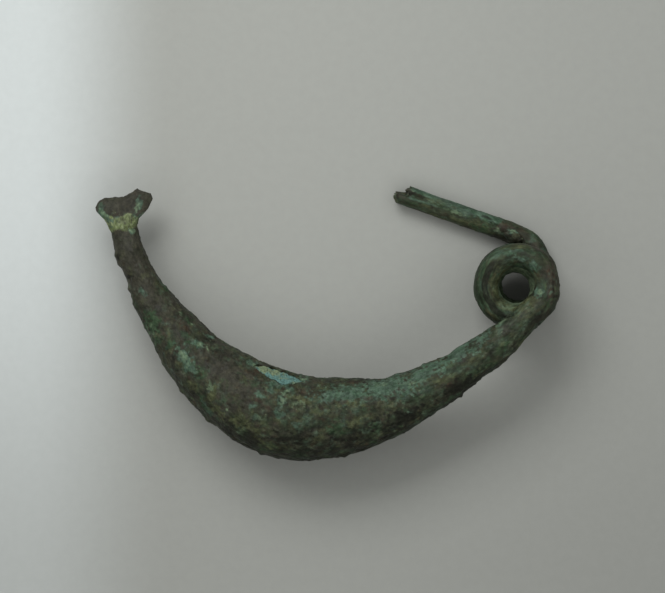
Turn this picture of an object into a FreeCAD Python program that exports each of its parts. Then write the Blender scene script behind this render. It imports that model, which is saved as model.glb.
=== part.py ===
import FreeCAD, Part
import math
import os
from FreeCAD import Rotation, Vector

os.makedirs("parts", exist_ok=True)

# A small bronze leech brooch lying on its side, as it was found.
# +Z is up, +X runs from the foot to the spring and +Y points from the bow to the pin.
# The origin is on the surface it lies on, below the middle of the whole brooch.
# Lengths are in millimetres and angles in degrees.

# Bow: one casting with a swollen hollow belly, drawn out to a stem at each end
bow_span = 46.1        # foot neck to the start of the spring wire, along X
bow_height = 21.8      # foot neck above the deepest point of the bow's middle line, along Y
belly_width = 10.2     # fullest width in the plane of the bow
belly_depth = 10.6     # fullest depth from side to side, the belly lies on one side
neck_width = 3.05      # foot neck, hammered flat
neck_depth = 2.0
shell_wall = 1.3       # cast metal around the clay core
neck_heading = -75.0   # direction of the bow's middle line where it leaves the foot

# Casting vent on the hollow side of the bow
vent_length = 6.2
vent_width = 2.1
vent_tilt = 28.0       # how far the vent faces up from the plane of the bow

# Clay core and the blue-green crust that stands on it in the vent
core_clearance = 0.06
crust_clearance = 0.08
crust_sink = 0.35      # crust lies this far below the outside of the shell

# Spring: round wire, wound two turns and a bit from the tail down to the pin
wire_dia = 2.8
tail_end_dia = 3.2     # end of the bow's tail, where the thinner wire begins
eye_dia = 4.14         # open middle of the spring
turn_gap = 0.72        # between one turn and the next, along the spring
wire_start_angle = -47.0   # place round the spring where the wire comes in
wound_angle = 782.0

# Pin: a knee bent away from the spring, then a straight shank to a broken end
knee_radius = 3.33
knee_run = 2.5         # straight end of the knee, which carries the blister
pin_heading = 160.6
pin_dia = 2.34
pin_length = 13.0      # shank, from the knee to the broken end
fork_depth = 1.7       # split in the broken end
fork_width = 0.6
fork_offset = 0.2      # from the middle of the pin to the middle of the split
fork_floor = 0.5       # the split's floor lies this far below the middle
short_prong_loss = 1.05    # how much shorter the outer prong is

# Corrosion blister on top of the knee
blister_length = 2.6
blister_width = 2.1
blister_rise = 0.75    # above the top of the pin
blister_place = 0.9    # from the end of the bend, along the pin

# Root of the broken catchplate: a thin hammered flare
plate_width = 6.5
plate_height = 5.05    # from the neck to the highest broken corner
plate_thickness = 1.0
plate_fold = 14.0      # the broken blade is bent down this far

# Sections of the bow from the foot neck to the spring wire. Each row holds shares:
# along bow_span, up bow_height from the wire, swell in width, swell in depth, rise of the middle
bow_section_shares = [
    (0.000, 0.497, 0.00, 0.00, -0.24),
    (0.014, 0.394, 0.04, 0.10, -0.23),
    (0.048, 0.230, 0.09, 0.20, -0.22),
    (0.090, 0.074, 0.26, 0.35, -0.20),
    (0.138, -0.076, 0.44, 0.55, -0.18),
    (0.192, -0.215, 0.65, 0.77, -0.12),
    (0.256, -0.333, 0.84, 0.93, -0.06),
    (0.329, -0.428, 0.98, 1.00, 0.00),
    (0.408, -0.493, 1.00, 0.98, 0.00),
    (0.492, -0.505, 0.94, 0.90, 0.05),
    (0.577, -0.487, 0.83, 0.78, 0.12),
    (0.660, -0.448, 0.61, 0.58, 0.25),
    (0.739, -0.381, 0.42, 0.40, 0.40),
    (0.813, -0.295, 0.32, 0.29, 0.56),
    (0.884, -0.196, 0.24, 0.20, 0.73),
    (0.954, -0.094, 0.13, 0.10, 0.90),
    (1.000, 0.000, 0.00, 0.00, 1.00),
]
# Places along the bow, as shares of bow_span
foot_end_share = 0.090     # the foot stem ends here and the shell begins
vent_place_share = 0.366   # middle of the vent
fullest_share = 0.408      # the swell grows from the neck to here and shrinks after it
tail_start_share = 0.739   # the shell ends here and the tail stem begins
core_tip_share = 0.45      # the core's two ends taper to this share of the cavity

# Outline of the broken blade: shares of plate_width and plate_height from the neck
blade_shares = [
    (-0.41, 0.37),
    (-0.50, 0.50),
    (-0.43, 0.68),
    (-0.23, 0.80),
    (-0.05, 0.82),
    (0.03, 0.85),
    (0.22, 1.00),
    (0.47, 0.88),
    (0.50, 0.77),
    (0.36, 0.54),
    (0.25, 0.37),
]
# The flare below the fold: shares of plate_width, of plate_height and, for the middle,
# of plate_width again, from the narrow section to the fold
flare_shares = [(0.57, 0.20, -0.05), (0.68, 0.38, -0.08)]
fold_share = 0.37      # of plate_height above the neck

oval_points = 12       # points that each oval section is drawn through
least_gap = 0.4        # the turns stay further apart than this


def polar(radius, angle, height=0):
    """A point at a radius and an angle round +Z."""
    turn = math.radians(angle)
    return Vector(radius * math.cos(turn), radius * math.sin(turn), height)


# Places that follow from the sizes. The spring's axis is the Z axis until the last move.
wire_radius = wire_dia / 2
coil_radius = (eye_dia + wire_dia) / 2
turn_pitch = wire_dia + turn_gap
wound_drop = turn_pitch * wound_angle / 360
tail_heading = wire_start_angle + 90
exit_angle = wire_start_angle + wound_angle
exit_heading = exit_angle + 90
wire_start_height = wire_radius + wound_drop
wire_start = (
    polar(coil_radius, wire_start_angle, wire_start_height) - polar(wire_dia, tail_heading)
)
wire_end = polar(coil_radius, exit_angle, wire_radius) + polar(wire_dia, exit_heading)
knee_turn = (pin_heading - exit_heading) % 360
overrun = belly_depth


def oval_wire(middle, heading, width, depth):
    """A smooth upright oval across a heading, its width level and its depth along Z."""
    across = polar(width / 2, heading + 90)
    rise = Vector(0, 0, depth / 2)
    ring = []
    for step in range(oval_points):
        turn = 2 * math.pi * step / oval_points
        ring.append(middle + across * math.cos(turn) + rise * math.sin(turn))
    curve = Part.BSplineCurve()
    curve.interpolate(Points=ring, Parameters=list(range(oval_points + 1)), PeriodicFlag=True)
    return Part.Wire(curve.toShape())


def bow_middles():
    """Middle point of each section of the bow."""
    middles = []
    for along, up, _, _, rise in bow_section_shares:
        middles.append(Vector(
            wire_start.x - bow_span * (1 - along),
            wire_start.y + bow_height * up,
            belly_depth / 2 + (wire_start_height - belly_depth / 2) * rise,
        ))
    return middles


def bow_headings(middles):
    """Level direction of a smooth line through the middles, at each of them."""
    line = Part.BSplineCurve()
    line.interpolate(
        Points=middles,
        InitialTangent=polar(1, neck_heading),
        FinalTangent=polar(1, tail_heading),
    )
    headings = []
    for middle in middles:
        along = line.tangent(line.parameter(middle))[0]
        headings.append(math.degrees(math.atan2(along.y, along.x)))
    return headings


def row_at(share):
    """First row of the bow at or past a share of its span."""
    return next(row for row, shares in enumerate(bow_section_shares) if shares[0] >= share)


middles = bow_middles()
headings = bow_headings(middles)
neck = middles[0]
foot_end = row_at(foot_end_share)
fullest = row_at(fullest_share)
tail_start = row_at(tail_start_share)


def bow_section(row, inset=0, share=1):
    """Section of the bow at a row, drawn in by an inset and scaled by a share."""
    end_width = neck_width if row < fullest else tail_end_dia
    end_depth = neck_depth if row < fullest else tail_end_dia
    width = end_width + (belly_width - end_width) * bow_section_shares[row][2]
    depth = end_depth + (belly_depth - end_depth) * bow_section_shares[row][3]
    return oval_wire(
        middles[row], headings[row], (width - 2 * inset) * share, (depth - 2 * inset) * share
    )


def bow_casting():
    """The whole bow as one smooth loft, from the neck to the wire."""
    rows = range(len(bow_section_shares))
    return Part.makeLoft([bow_section(row) for row in rows], True, False)


def inner_loft(inset):
    """The bow's hollow middle drawn in by an inset, with tapered ends."""
    wires = []
    for row in range(foot_end + 1, tail_start):
        at_tip = row in (foot_end + 1, tail_start - 1)
        wires.append(bow_section(row, inset, core_tip_share if at_tip else 1))
    return Part.makeLoft(wires, True, False)


def side_of_row(row, forward):
    """A block that fills one side of the plane of a row's section."""
    reach = bow_span
    start = 0 if forward else -reach
    block = Part.makeBox(reach, 2 * reach, 2 * reach, Vector(start, -reach, -reach))
    block.Placement = FreeCAD.Placement(
        middles[row], Rotation(Vector(0, 0, 1), headings[row])
    )
    return block


def vent_cutter(clearance):
    """A round-ended bar through the shell's inner side, drawn in by a clearance."""
    half_width = vent_width / 2 - clearance
    half_straight = (vent_length - vent_width) / 2
    tips = [Vector(half_straight, half_width, 0), Vector(-half_straight, half_width, 0)]
    ends = [Vector(-half_straight, -half_width, 0), Vector(half_straight, -half_width, 0)]
    outline = Part.Wire([
        Part.LineSegment(tips[0], tips[1]).toShape(),
        Part.Arc(tips[1], Vector(-half_straight - half_width, 0, 0), ends[0]).toShape(),
        Part.LineSegment(ends[0], ends[1]).toShape(),
        Part.Arc(ends[1], Vector(half_straight + half_width, 0, 0), tips[0]).toShape(),
    ])
    bar = Part.Face(outline).extrude(Vector(0, 0, overrun))
    middle, heading = vent_seat()
    # the bar's length follows the bow and it points inwards, tipped up by the vent's tilt
    tip = Rotation(Vector(1, 0, 0), vent_tilt - 90)
    turn = Rotation(Vector(0, 0, 1), heading)
    bar.Placement = FreeCAD.Placement(middle, turn.multiply(tip))
    return bar


def vent_seat():
    """Point of the bow's middle line below the vent, and the line's heading there."""
    row = row_at(vent_place_share) - 1
    before, after = bow_section_shares[row][0], bow_section_shares[row + 1][0]
    part = (vent_place_share - before) / (after - before)
    middle = middles[row] + (middles[row + 1] - middles[row]) * part
    heading = headings[row] + (headings[row + 1] - headings[row]) * part
    return middle, heading


def bow_shell(casting):
    """Cast shell of the belly with its cavity and the open vent."""
    block = casting.common(side_of_row(foot_end, True))
    block = block.common(side_of_row(tail_start, False))
    return block.cut(inner_loft(shell_wall)).cut(vent_cutter(0))


def casting_core():
    """Clay core that the bow was cast around, still inside it."""
    return inner_loft(shell_wall + core_clearance)


def vent_crust():
    """Blue-green mineral crust on the core, inside the edge of the vent."""
    plug = vent_cutter(crust_clearance).common(inner_loft(crust_sink))
    return plug.cut(inner_loft(shell_wall))


def foot_stem(casting):
    """Solid stem from the foot neck to the shell."""
    return casting.common(side_of_row(foot_end, False))


def tail_stem(casting):
    """Solid stem from the shell to the spring wire."""
    return casting.common(side_of_row(tail_start, True))


def catchplate_root():
    """Hammered flare at the foot with the bent stub of the broken plate."""
    wires = [oval_wire(neck, neck_heading, neck_width, neck_depth)]
    for width_share, up_share, side_share in flare_shares:
        middle = neck + Vector(plate_width * side_share, plate_height * up_share, 0)
        blend = up_share / flare_shares[-1][1]
        depth = neck_depth + (plate_thickness - neck_depth) * blend
        wires.append(oval_wire(middle, -90, plate_width * width_share, depth))
    flare = Part.makeLoft(wires, True, False)
    corners = [
        neck + Vector(plate_width * side, plate_height * up, -plate_thickness / 2)
        for side, up in blade_shares
    ]
    blade = Part.Face(Part.makePolygon(corners + [corners[0]]))
    blade = blade.extrude(Vector(0, 0, plate_thickness))
    hinge = neck + Vector(0, plate_height * fold_share, 0)
    blade.rotate(hinge, Vector(1, 0, 0), -plate_fold)
    return flare.fuse(blade)


def arc_from(start, heading, end):
    """Arc from start to end that leaves along a heading."""
    chord = end - start
    along = Vector(chord)
    along.normalize()
    bend = heading.getAngle(along)
    side = heading - along * heading.dot(along)
    side.normalize()
    middle = start + chord / 2 + side * (chord.Length / 2 * math.tan(bend / 2))
    return Part.Arc(start, middle, end).toShape()


def biarc(start, start_heading, end, end_heading):
    """Two arcs that join two points and run smoothly along both headings."""
    chord = end - start
    both = start_heading + end_heading
    square = 2 * (1 - start_heading.dot(end_heading))
    slant = chord.dot(both)
    reach = (math.sqrt(slant ** 2 + square * chord.dot(chord)) - slant) / square
    meet = (start + end + (start_heading - end_heading) * reach) / 2
    meet_heading = (end - end_heading * reach) - (start + start_heading * reach)
    meet_heading.normalize()
    return [arc_from(start, start_heading, meet), arc_from(meet, meet_heading, end)]


def coil_line():
    """Middle line of the spring wire: straight in, wound down, straight out."""
    steps = max(1, round(wound_angle / 90))
    points = []
    lines = []
    for step in range(steps + 1):
        angle = wire_start_angle + wound_angle * step / steps
        height = wire_start_height - wound_drop * step / steps
        points.append(polar(coil_radius, angle, height))
        fall = -turn_pitch / (2 * math.pi * coil_radius) if 0 < step < steps else 0
        line = polar(1, angle + 90, fall)
        line.normalize()
        lines.append(line)
    edges = [Part.LineSegment(wire_start, points[0]).toShape()]
    for step in range(steps):
        edges += biarc(points[step], lines[step], points[step + 1], lines[step + 1])
    edges.append(Part.LineSegment(points[-1], wire_end).toShape())
    return Part.Wire(edges)


def gap_to_itself(line, samples=600):
    """Least distance between the surfaces of turns that lie beside each other."""
    points = line.discretize(Number=samples)
    step = line.Length / (samples - 1)
    apart = math.ceil(math.pi * coil_radius / step)
    nearest = min(
        points[first].distanceToPoint(points[second])
        for first in range(samples)
        for second in range(first + apart, samples)
    )
    return nearest - wire_dia


def spring_coil():
    """The spring's wire as one unbroken round tube."""
    line = coil_line()
    section = Part.Wire(Part.Circle(wire_start, polar(1, tail_heading), wire_radius).toShape())
    tube = line.makePipeShell([section], True, False)
    gap = gap_to_itself(line)
    print("spring: least gap between turns", round(gap, 3), "mm, more than", least_gap, gap > least_gap)
    print("spring: volume against section times length",
          round(tube.Volume / (math.pi * wire_radius ** 2 * line.Length), 4))
    return tube


def round_section(point, heading, dia):
    """Circle across a heading whose lowest point is on the ground."""
    return Part.Wire(Part.Circle(point + Vector(0, 0, dia / 2), polar(1, heading), dia / 2).toShape())


def knee_point(turned):
    """Point of the knee on the ground, after a turn from the spring's end."""
    centre = Vector(wire_end.x, wire_end.y, 0) + polar(knee_radius, exit_heading + 90)
    return centre + polar(knee_radius, exit_heading - 90 + turned)


shank_start = knee_point(knee_turn) + polar(knee_run, pin_heading)


def pin_knee():
    """Wire bent away from the spring and thinned to the pin, lying on the ground."""
    steps = 6
    wires = []
    for step in range(steps + 1):
        turned = knee_turn * step / steps
        dia = wire_dia + (pin_dia - wire_dia) * step / steps
        wires.append(round_section(knee_point(turned), exit_heading + turned, dia))
    wires.append(round_section(shank_start, pin_heading, pin_dia))
    return Part.makeLoft(wires, True, False)


def pin_shank():
    """Straight pin with a forked broken end."""
    lift = Vector(0, 0, pin_dia / 2)
    shank = Part.makeCylinder(pin_dia / 2, pin_length, shank_start + lift, polar(1, pin_heading))
    tip = shank_start + lift + polar(pin_length, pin_heading)
    return shank.cut(fork_slot(tip)).cut(prong_step(tip))


def tip_block(tip, size, corner):
    """Block in the pin's own directions: back along it, across it and up."""
    block = Part.makeBox(size.x, size.y, size.z, corner)
    block.Placement = FreeCAD.Placement(tip, Rotation(Vector(0, 0, 1), pin_heading + 180))
    return block


def fork_slot(tip):
    """Split along the pin's end, a little to one side of the middle."""
    size = Vector(fork_depth + pin_dia, fork_width, pin_dia)
    return tip_block(tip, size, Vector(-pin_dia, fork_offset - fork_width / 2, -fork_floor))


def prong_step(tip):
    """Space where the outer prong has broken away."""
    size = Vector(short_prong_loss + pin_dia, pin_dia, 2 * pin_dia)
    return tip_block(tip, size, Vector(-pin_dia, fork_offset, -pin_dia))


def knee_blister(knee):
    """Rounded nodule of corrosion that has grown on top of the pin's knee."""
    middle = knee_point(knee_turn) + polar(blister_place, pin_heading, pin_dia / 2)
    half_length = blister_length / 2
    half_width = blister_width / 2
    nodule = Part.makeSphere(1, Vector(), Vector(0, 0, 1), 0, 90)
    stretch = FreeCAD.Matrix()
    stretch.scale(Vector(half_length, half_width, pin_dia / 2 + blister_rise))
    nodule = nodule.transformGeometry(stretch)
    nodule.Placement = FreeCAD.Placement(middle, Rotation(Vector(0, 0, 1), pin_heading))
    return nodule.cut(knee)


def build():
    """All pieces of the brooch by name, with the spring's axis on Z."""
    casting = bow_casting()
    knee = pin_knee()
    return {
        "bow_shell": bow_shell(casting),
        "casting_core": casting_core(),
        "vent_crust": vent_crust(),
        "foot_stem": foot_stem(casting),
        "catchplate_root": catchplate_root(),
        "tail_stem": tail_stem(casting),
        "spring_coil": spring_coil(),
        "pin_knee": knee,
        "pin_shank": pin_shank(),
        "knee_blister": knee_blister(knee),
    }


pieces = build()
whole = Part.makeCompound(list(pieces.values())).optimalBoundingBox(False, False)
to_origin = Vector(-whole.Center.x, -whole.Center.y, -whole.ZMin)
for name, shape in pieces.items():
    shape.translate(to_origin)
    shape.exportStep("parts/" + name + ".step")
    print(name, "valid" if shape.isValid() else "NOT VALID", "solids", len(shape.Solids),
          "volume", round(shape.Volume, 2))
print("whole", [round(size, 3) for size in (whole.XLength, whole.YLength, whole.ZLength)],
      "lowest", round(whole.ZMin, 4))
print("spring axis", [round(value, 4) for value in to_origin])
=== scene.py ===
import math

import bpy
import numpy as np
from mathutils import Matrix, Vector


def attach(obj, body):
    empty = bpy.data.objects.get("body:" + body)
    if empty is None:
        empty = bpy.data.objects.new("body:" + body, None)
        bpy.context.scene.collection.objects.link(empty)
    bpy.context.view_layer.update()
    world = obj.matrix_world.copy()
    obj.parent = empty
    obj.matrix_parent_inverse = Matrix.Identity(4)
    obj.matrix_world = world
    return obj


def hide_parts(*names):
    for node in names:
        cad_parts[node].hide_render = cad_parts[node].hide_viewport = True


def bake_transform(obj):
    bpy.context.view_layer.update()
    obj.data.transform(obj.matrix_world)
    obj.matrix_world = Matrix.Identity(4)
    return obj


# Leech brooch of patinated bronze, lying on its side.
# Shapes are worked out in millimetres in the part's own frame and become metres in makeMesh.

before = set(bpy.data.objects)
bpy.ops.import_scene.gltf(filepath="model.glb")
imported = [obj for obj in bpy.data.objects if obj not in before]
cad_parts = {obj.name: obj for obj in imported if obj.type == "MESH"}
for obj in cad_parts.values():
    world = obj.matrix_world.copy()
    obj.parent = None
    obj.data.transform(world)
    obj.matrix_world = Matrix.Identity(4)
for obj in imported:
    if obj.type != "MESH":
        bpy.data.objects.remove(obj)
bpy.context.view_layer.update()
print("frame loaded", sorted(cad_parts))

millimetre = 0.001
upward = np.array([0.0, 0.0, 1.0])
springAxis = np.array([22.0757, 4.3307])     # where the spring's axis stands, seen from above
# random lattices: primes that mix a corner's numbers, entries in a table, and the gain that
# brings the noise to about -1 to 1
lattice = {"primes": (73856093, 19349663, 83492791), "entries": 4096, "gain": 1.6}


# smooth step: 3t squared minus 2t cubed, with t the share of the way from low to high
def smoothStep(low, high, value):
    t = np.clip((value - low) / (high - low), 0, 1)
    return t * t * (3 - 2 * t)


# smooth step up from start to risen times smooth step down from falling to end
def between(start, risen, falling, end, value):
    return smoothStep(start, risen, value) * smoothStep(end, falling, value)


# bell curve: 1 at the middle, e to the minus square of the distance in spreads
def bell(value, middle, spread):
    return np.exp(-((value - middle) / spread) ** 2)


# unit vectors along the last axis
def unit(vectors):
    return vectors / np.maximum(np.linalg.norm(vectors, axis=-1, keepdims=True), 1e-9)


# level direction at an angle in degrees
def levelWay(angle):
    turn = np.radians(angle)
    return np.stack([np.cos(turn), np.sin(turn), np.zeros_like(turn)], -1)


# two grids with a row for each place and a column for each angle round a full turn
def rowsAndTurns(places, ring):
    return np.meshgrid(places, np.linspace(0, 2 * np.pi, ring, endpoint=False), indexing="ij")


# entry of the random table that belongs to each corner of a lattice
def latticeEntry(corner):
    first, second, third = (corner[..., axis] * prime for axis, prime in enumerate(lattice["primes"]))
    return (first ^ second ^ third) & (lattice["entries"] - 1)


# gradient noise from -1 to 1: a random direction at each corner of a lattice of that cell size,
# its dot product with the offset to the point, faded together by 6t^5 - 15t^4 + 10t^3
def latticeNoise(points, cell, seed):
    ways = unit(np.random.default_rng(seed).normal(size=(lattice["entries"], 3)))
    at = points / cell
    corner = np.floor(at).astype(np.int64)
    inside = at - corner
    fade = inside ** 3 * (inside * (inside * 6 - 15) + 10)
    total = np.zeros(points.shape[:-1])
    for step in range(8):
        offset = np.array([step >> 2 & 1, step >> 1 & 1, step & 1])
        weight = np.prod(np.where(offset, fade, 1 - fade), axis=-1)
        total += weight * np.sum(ways[latticeEntry(corner + offset)] * (inside - offset), axis=-1)
    return total * lattice["gain"]


# octaves of gradient noise, each of half the cell and a share of the height of the one before
def layeredNoise(points, cell, seed, octaves=3, share=0.5):
    total = 0
    for octave in range(octaves):
        total = total + latticeNoise(points, cell / 2 ** octave, seed + octave) * share ** octave
    return total


# one random place per cell of a lattice: gives the distance to the nearest one, in cells,
# and that place's own random number from 0 to 1
def scatteredDots(points, cell, seed):
    table = np.random.default_rng(seed).random((lattice["entries"], 4))
    at = points / cell
    corner = np.floor(at).astype(np.int64)
    nearest = np.full(points.shape[:-1], np.inf)
    luck = np.zeros(points.shape[:-1])
    for step in range(27):
        spot = corner + np.array([step // 9 - 1, step // 3 % 3 - 1, step % 3 - 1])
        dot = table[latticeEntry(spot)]
        gap = np.linalg.norm(at - (spot + dot[..., :3]), axis=-1)
        luck = np.where(gap < nearest, dot[..., 3], luck)
        nearest = np.minimum(nearest, gap)
    return nearest, luck


# smooth curve through rows of values: cubic pieces whose slopes come from the neighbouring rows
def throughRows(places, values, at, endSlopes=None):
    values = np.asarray(values, float)
    slopes = np.gradient(values, places, axis=0, edge_order=2)
    if endSlopes is not None:
        slopes[0], slopes[-1] = endSlopes
    row = np.clip(np.searchsorted(places, at, side="right") - 1, 0, len(places) - 2)
    span = places[row + 1] - places[row]
    t = (at - places[row]) / span
    if values.ndim > 1:
        t, span = t[..., None], span[..., None]
    return (
        (2 * t ** 3 - 3 * t ** 2 + 1) * values[row] + (t ** 3 - 2 * t ** 2 + t) * span * slopes[row]
        + (3 * t ** 2 - 2 * t ** 3) * values[row + 1] + (t ** 3 - t ** 2) * span * slopes[row + 1]
    )


# outward normals of a closed tube grid (rows along it, columns round it) from central differences
def gridNormals(grid):
    alongRows = np.gradient(grid, axis=0)
    roundRing = np.roll(grid, -1, axis=1) - np.roll(grid, 1, axis=1)
    return unit(np.cross(roundRing, alongRows))


# relief on a surface: base + outward normal x height
def raised(base, height):
    return base + gridNormals(base) * height[..., None]


# points beside a line: middle + level side x across + up x lift
def offLine(middle, side, across, lift):
    return middle + side * across[..., None] + upward * lift[..., None]


# ground rule: heights are eased so that nothing sinks below the surface it lies on
def restOnGround(grid, softness=0.05):
    eased = grid.copy()
    eased[..., 2] = (grid[..., 2] + np.sqrt(grid[..., 2] ** 2 + softness ** 2)) / 2
    return eased


# rows at an even step from one place to another, with one spare row past each end for the normals
def evenRows(start, end, step):
    count = int(round((end - start) / step))
    gap = (end - start) / count
    return np.linspace(start - gap, end + gap, count + 3)


# mesh from points in millimetres with quads and triangles as index arrays; grain is each point's
# place in the run of the metal, which the materials read
def makeMesh(name, points, quads, triangles, normals=None, grain=None):
    loops = np.concatenate([quads.ravel(), triangles.ravel()]).astype(np.int32)
    sizes = np.concatenate([np.full(len(quads), 4), np.full(len(triangles), 3)])
    starts = np.concatenate([[0], np.cumsum(sizes)[:-1]])
    mesh = bpy.data.meshes.new(name)
    mesh.vertices.add(len(points))
    mesh.vertices.foreach_set("co", (points * millimetre).astype(np.float32).ravel())
    mesh.loops.add(len(loops))
    mesh.loops.foreach_set("vertex_index", loops)
    mesh.polygons.add(len(sizes))
    mesh.polygons.foreach_set("loop_start", starts.astype(np.int32))
    mesh.polygons.foreach_set("use_smooth", np.ones(len(sizes), bool))
    mesh.update(calc_edges=True)
    mesh.validate()
    if normals is not None:
        mesh.normals_split_custom_set_from_vertices(normals)
    if grain is not None:
        run = mesh.attributes.new("grain", "FLOAT_VECTOR", "POINT")
        run.data.foreach_set("vector", grain.astype(np.float32).ravel())
    piece = bpy.data.objects.new(name, mesh)
    bpy.context.scene.collection.objects.link(piece)
    return piece


# number of each point of a tube grid, of its neighbour round the ring, and the quads between the rows
def tubeQuads(rows, ring):
    index = np.arange(rows * ring).reshape(rows, ring)
    after = np.roll(index, -1, axis=1)
    return index, after, np.stack([index[:-1], after[:-1], after[1:], index[1:]], -1).reshape(-1, 4)


# closed tube from a grid: quads between rows, and a fan to the middle of the first and last row
def makeTube(name, grid, normals=None, grain=None, endTip=None):
    rows, ring = grid.shape[:2]
    index, after, quads = tubeQuads(rows, ring)
    tips = [grid[0].mean(0), grid[-1].mean(0) if endTip is None else endTip]
    points = np.concatenate([grid.reshape(-1, 3), tips])
    startFan = np.stack([after[0], index[0], np.full(ring, rows * ring)], -1)
    endFan = np.stack([index[-1], after[-1], np.full(ring, rows * ring + 1)], -1)
    if normals is not None:
        ways = unit(np.array([tips[0] - grid[2].mean(0), tips[1] - grid[-3].mean(0)]))
        normals = np.concatenate([normals.reshape(-1, 3), ways])
    if grain is not None:
        grain = np.concatenate([grain.reshape(-1, 3), [grain[0].mean(0), grain[-1].mean(0)]])
    return makeMesh(name, points, quads, np.concatenate([startFan, endFan]), normals, grain)


# tube that rests on the ground, less the spare rows at its ends, which only serve the normals
def makeRun(name, grid, grain, used=slice(1, -1), endTip=None):
    grid = restOnGround(grid)
    return makeTube(name, grid[used], gridNormals(grid)[used], grain[used], endTip)


# a strength from 0 to 1 at each point, which the materials read by name
def writeMask(mesh, name, strength):
    mask = mesh.attributes.new(name, "FLOAT", "POINT")
    mask.data.foreach_set("value", strength.astype(np.float32))


# bow: its sections from the foot neck to the spring wire
bow = {
    "start": (22.39, -0.12, 9.05),  # middle of the wire where the spring begins
    "span": 46.1, "height": 21.8, "restHeight": 5.3,
    "width": 10.2, "depth": 10.6,
    "neckWidth": 3.05, "neckDepth": 2.0, "tailDia": 3.2,
    "fullestRow": 8, "footEndRow": 3, "tailStartRow": 12,
    "headings": [-75.0, 43.0],      # level, at the neck and where the wire begins
    # along the span, up the height, swell in width, swell in depth, rise of the middle
    "rows": [
        (0.000, 0.497, 0.00, 0.00, -0.24), (0.014, 0.394, 0.04, 0.10, -0.23),
        (0.048, 0.230, 0.09, 0.20, -0.22), (0.090, 0.074, 0.26, 0.35, -0.20),
        (0.138, -0.076, 0.44, 0.55, -0.18), (0.192, -0.215, 0.65, 0.77, -0.12),
        (0.256, -0.333, 0.84, 0.93, -0.06), (0.329, -0.428, 0.98, 1.00, 0.00),
        (0.408, -0.493, 1.00, 0.98, 0.00), (0.492, -0.505, 0.94, 0.90, 0.05),
        (0.577, -0.487, 0.83, 0.78, 0.12), (0.660, -0.448, 0.61, 0.58, 0.25),
        (0.739, -0.381, 0.42, 0.40, 0.40), (0.813, -0.295, 0.32, 0.29, 0.56),
        (0.884, -0.196, 0.24, 0.20, 0.73), (0.954, -0.094, 0.13, 0.10, 0.90),
        (1.000, 0.000, 0.00, 0.00, 1.00),
    ],
    # how far the real outline stands out from the smooth one: along the span, hollow side, outer side
    "trim": [
        (0.00, 0.04, 0.12), (0.014, -0.18, 0.06), (0.035, -0.18, 0.02), (0.055, -0.20, 0.16),
        (0.090, -0.10, 0.12), (0.12, -0.01, 0.06), (0.16, -0.02, -0.02), (0.20, -0.06, -0.06),
        (0.24, -0.04, -0.18), (0.30, -0.14, -0.16), (0.36, -0.06, -0.06), (0.42, -0.03, 0.0),
        (0.50, -0.18, -0.03), (0.60, -0.18, 0.0), (0.65, -0.22, 0.0), (0.685, -0.36, 0.0),
        (0.71, -0.10, 0.0), (0.76, 0.05, -0.04), (0.80, -0.10, -0.10), (0.84, -0.34, -0.20),
        (0.88, -0.20, -0.27), (0.94, -0.04, -0.10), (1.00, 0.0, 0.0),
    ],
    "ring": 264, "stemRing": 132, "shellStep": 0.125, "stemStep": 0.09, "headingStep": 0.05,
}
bowTable = np.array(bow["rows"])
bowTrim = np.array(bow["trim"])
bowMiddles = np.stack([
    bow["start"][0] - bow["span"] * (1 - bowTable[:, 0]),
    bow["start"][1] + bow["height"] * bowTable[:, 1],
    bow["restHeight"] + (bow["start"][2] - bow["restHeight"]) * bowTable[:, 4],
], -1)
bowPlaces = np.concatenate([[0], np.cumsum(np.linalg.norm(np.diff(bowMiddles, axis=0), axis=1))])
bowLength = bowPlaces[-1]
bowEndSlopes = levelWay(np.array(bow["headings"]))
inFoot = np.arange(len(bowTable)) < bow["fullestRow"]
endWidths = np.where(inFoot, bow["neckWidth"], bow["tailDia"])
endDepths = np.where(inFoot, bow["neckDepth"], bow["tailDia"])
bowWidths = endWidths + (bow["width"] - endWidths) * bowTable[:, 2]
bowDepths = endDepths + (bow["depth"] - endDepths) * bowTable[:, 3]


# bow line: middle of the metal and the level direction to its left at each place
def bowLine(place):
    step = bow["headingStep"]
    inside = np.clip(place, step, bowLength - step)
    ahead = (throughRows(bowPlaces, bowMiddles, inside + step, bowEndSlopes)
             - throughRows(bowPlaces, bowMiddles, inside - step, bowEndSlopes))
    ahead[..., 2] = 0
    ahead = unit(ahead)
    side = np.stack([-ahead[..., 1], ahead[..., 0], ahead[..., 2]], -1)
    return throughRows(bowPlaces, bowMiddles, place, bowEndSlopes), side


# bow surface: middle + level side x half width x cos v + up x half depth x sin v,
# with v from 0 on the hollow side over the top (a quarter turn) to the outer side (a half turn)
def bowSurface(place, v):
    middle, side = bowLine(place)
    halfWidth = throughRows(bowPlaces, bowWidths, place) / 2
    halfDepth = throughRows(bowPlaces, bowDepths, place) / 2
    span = np.interp(place, bowPlaces, bowTable[:, 0])
    hollow, outer = (np.interp(span, bowTrim[:, 0], bowTrim[:, column]) for column in (1, 2))
    halfWidth = halfWidth + np.where(np.cos(v) > 0, hollow, outer) * np.abs(np.cos(v))
    return offLine(middle, side, halfWidth * np.cos(v), halfDepth * np.sin(v))


# grain: corrosion runs along the metal, so each point has its place along the metal's line, squeezed
# so that the mottling is drawn out that way, and its offsets to the side and up from that line
grainRows = [0, bow["footEndRow"], bow["tailStartRow"], len(bowTable) - 1]
grainSqueeze = np.array([0.70, 0.85, 0.50])     # in the foot, in the belly, in the tail and the wire
grainReach = np.concatenate([[0], np.cumsum(grainSqueeze * np.diff(bowPlaces[grainRows]))])


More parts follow.
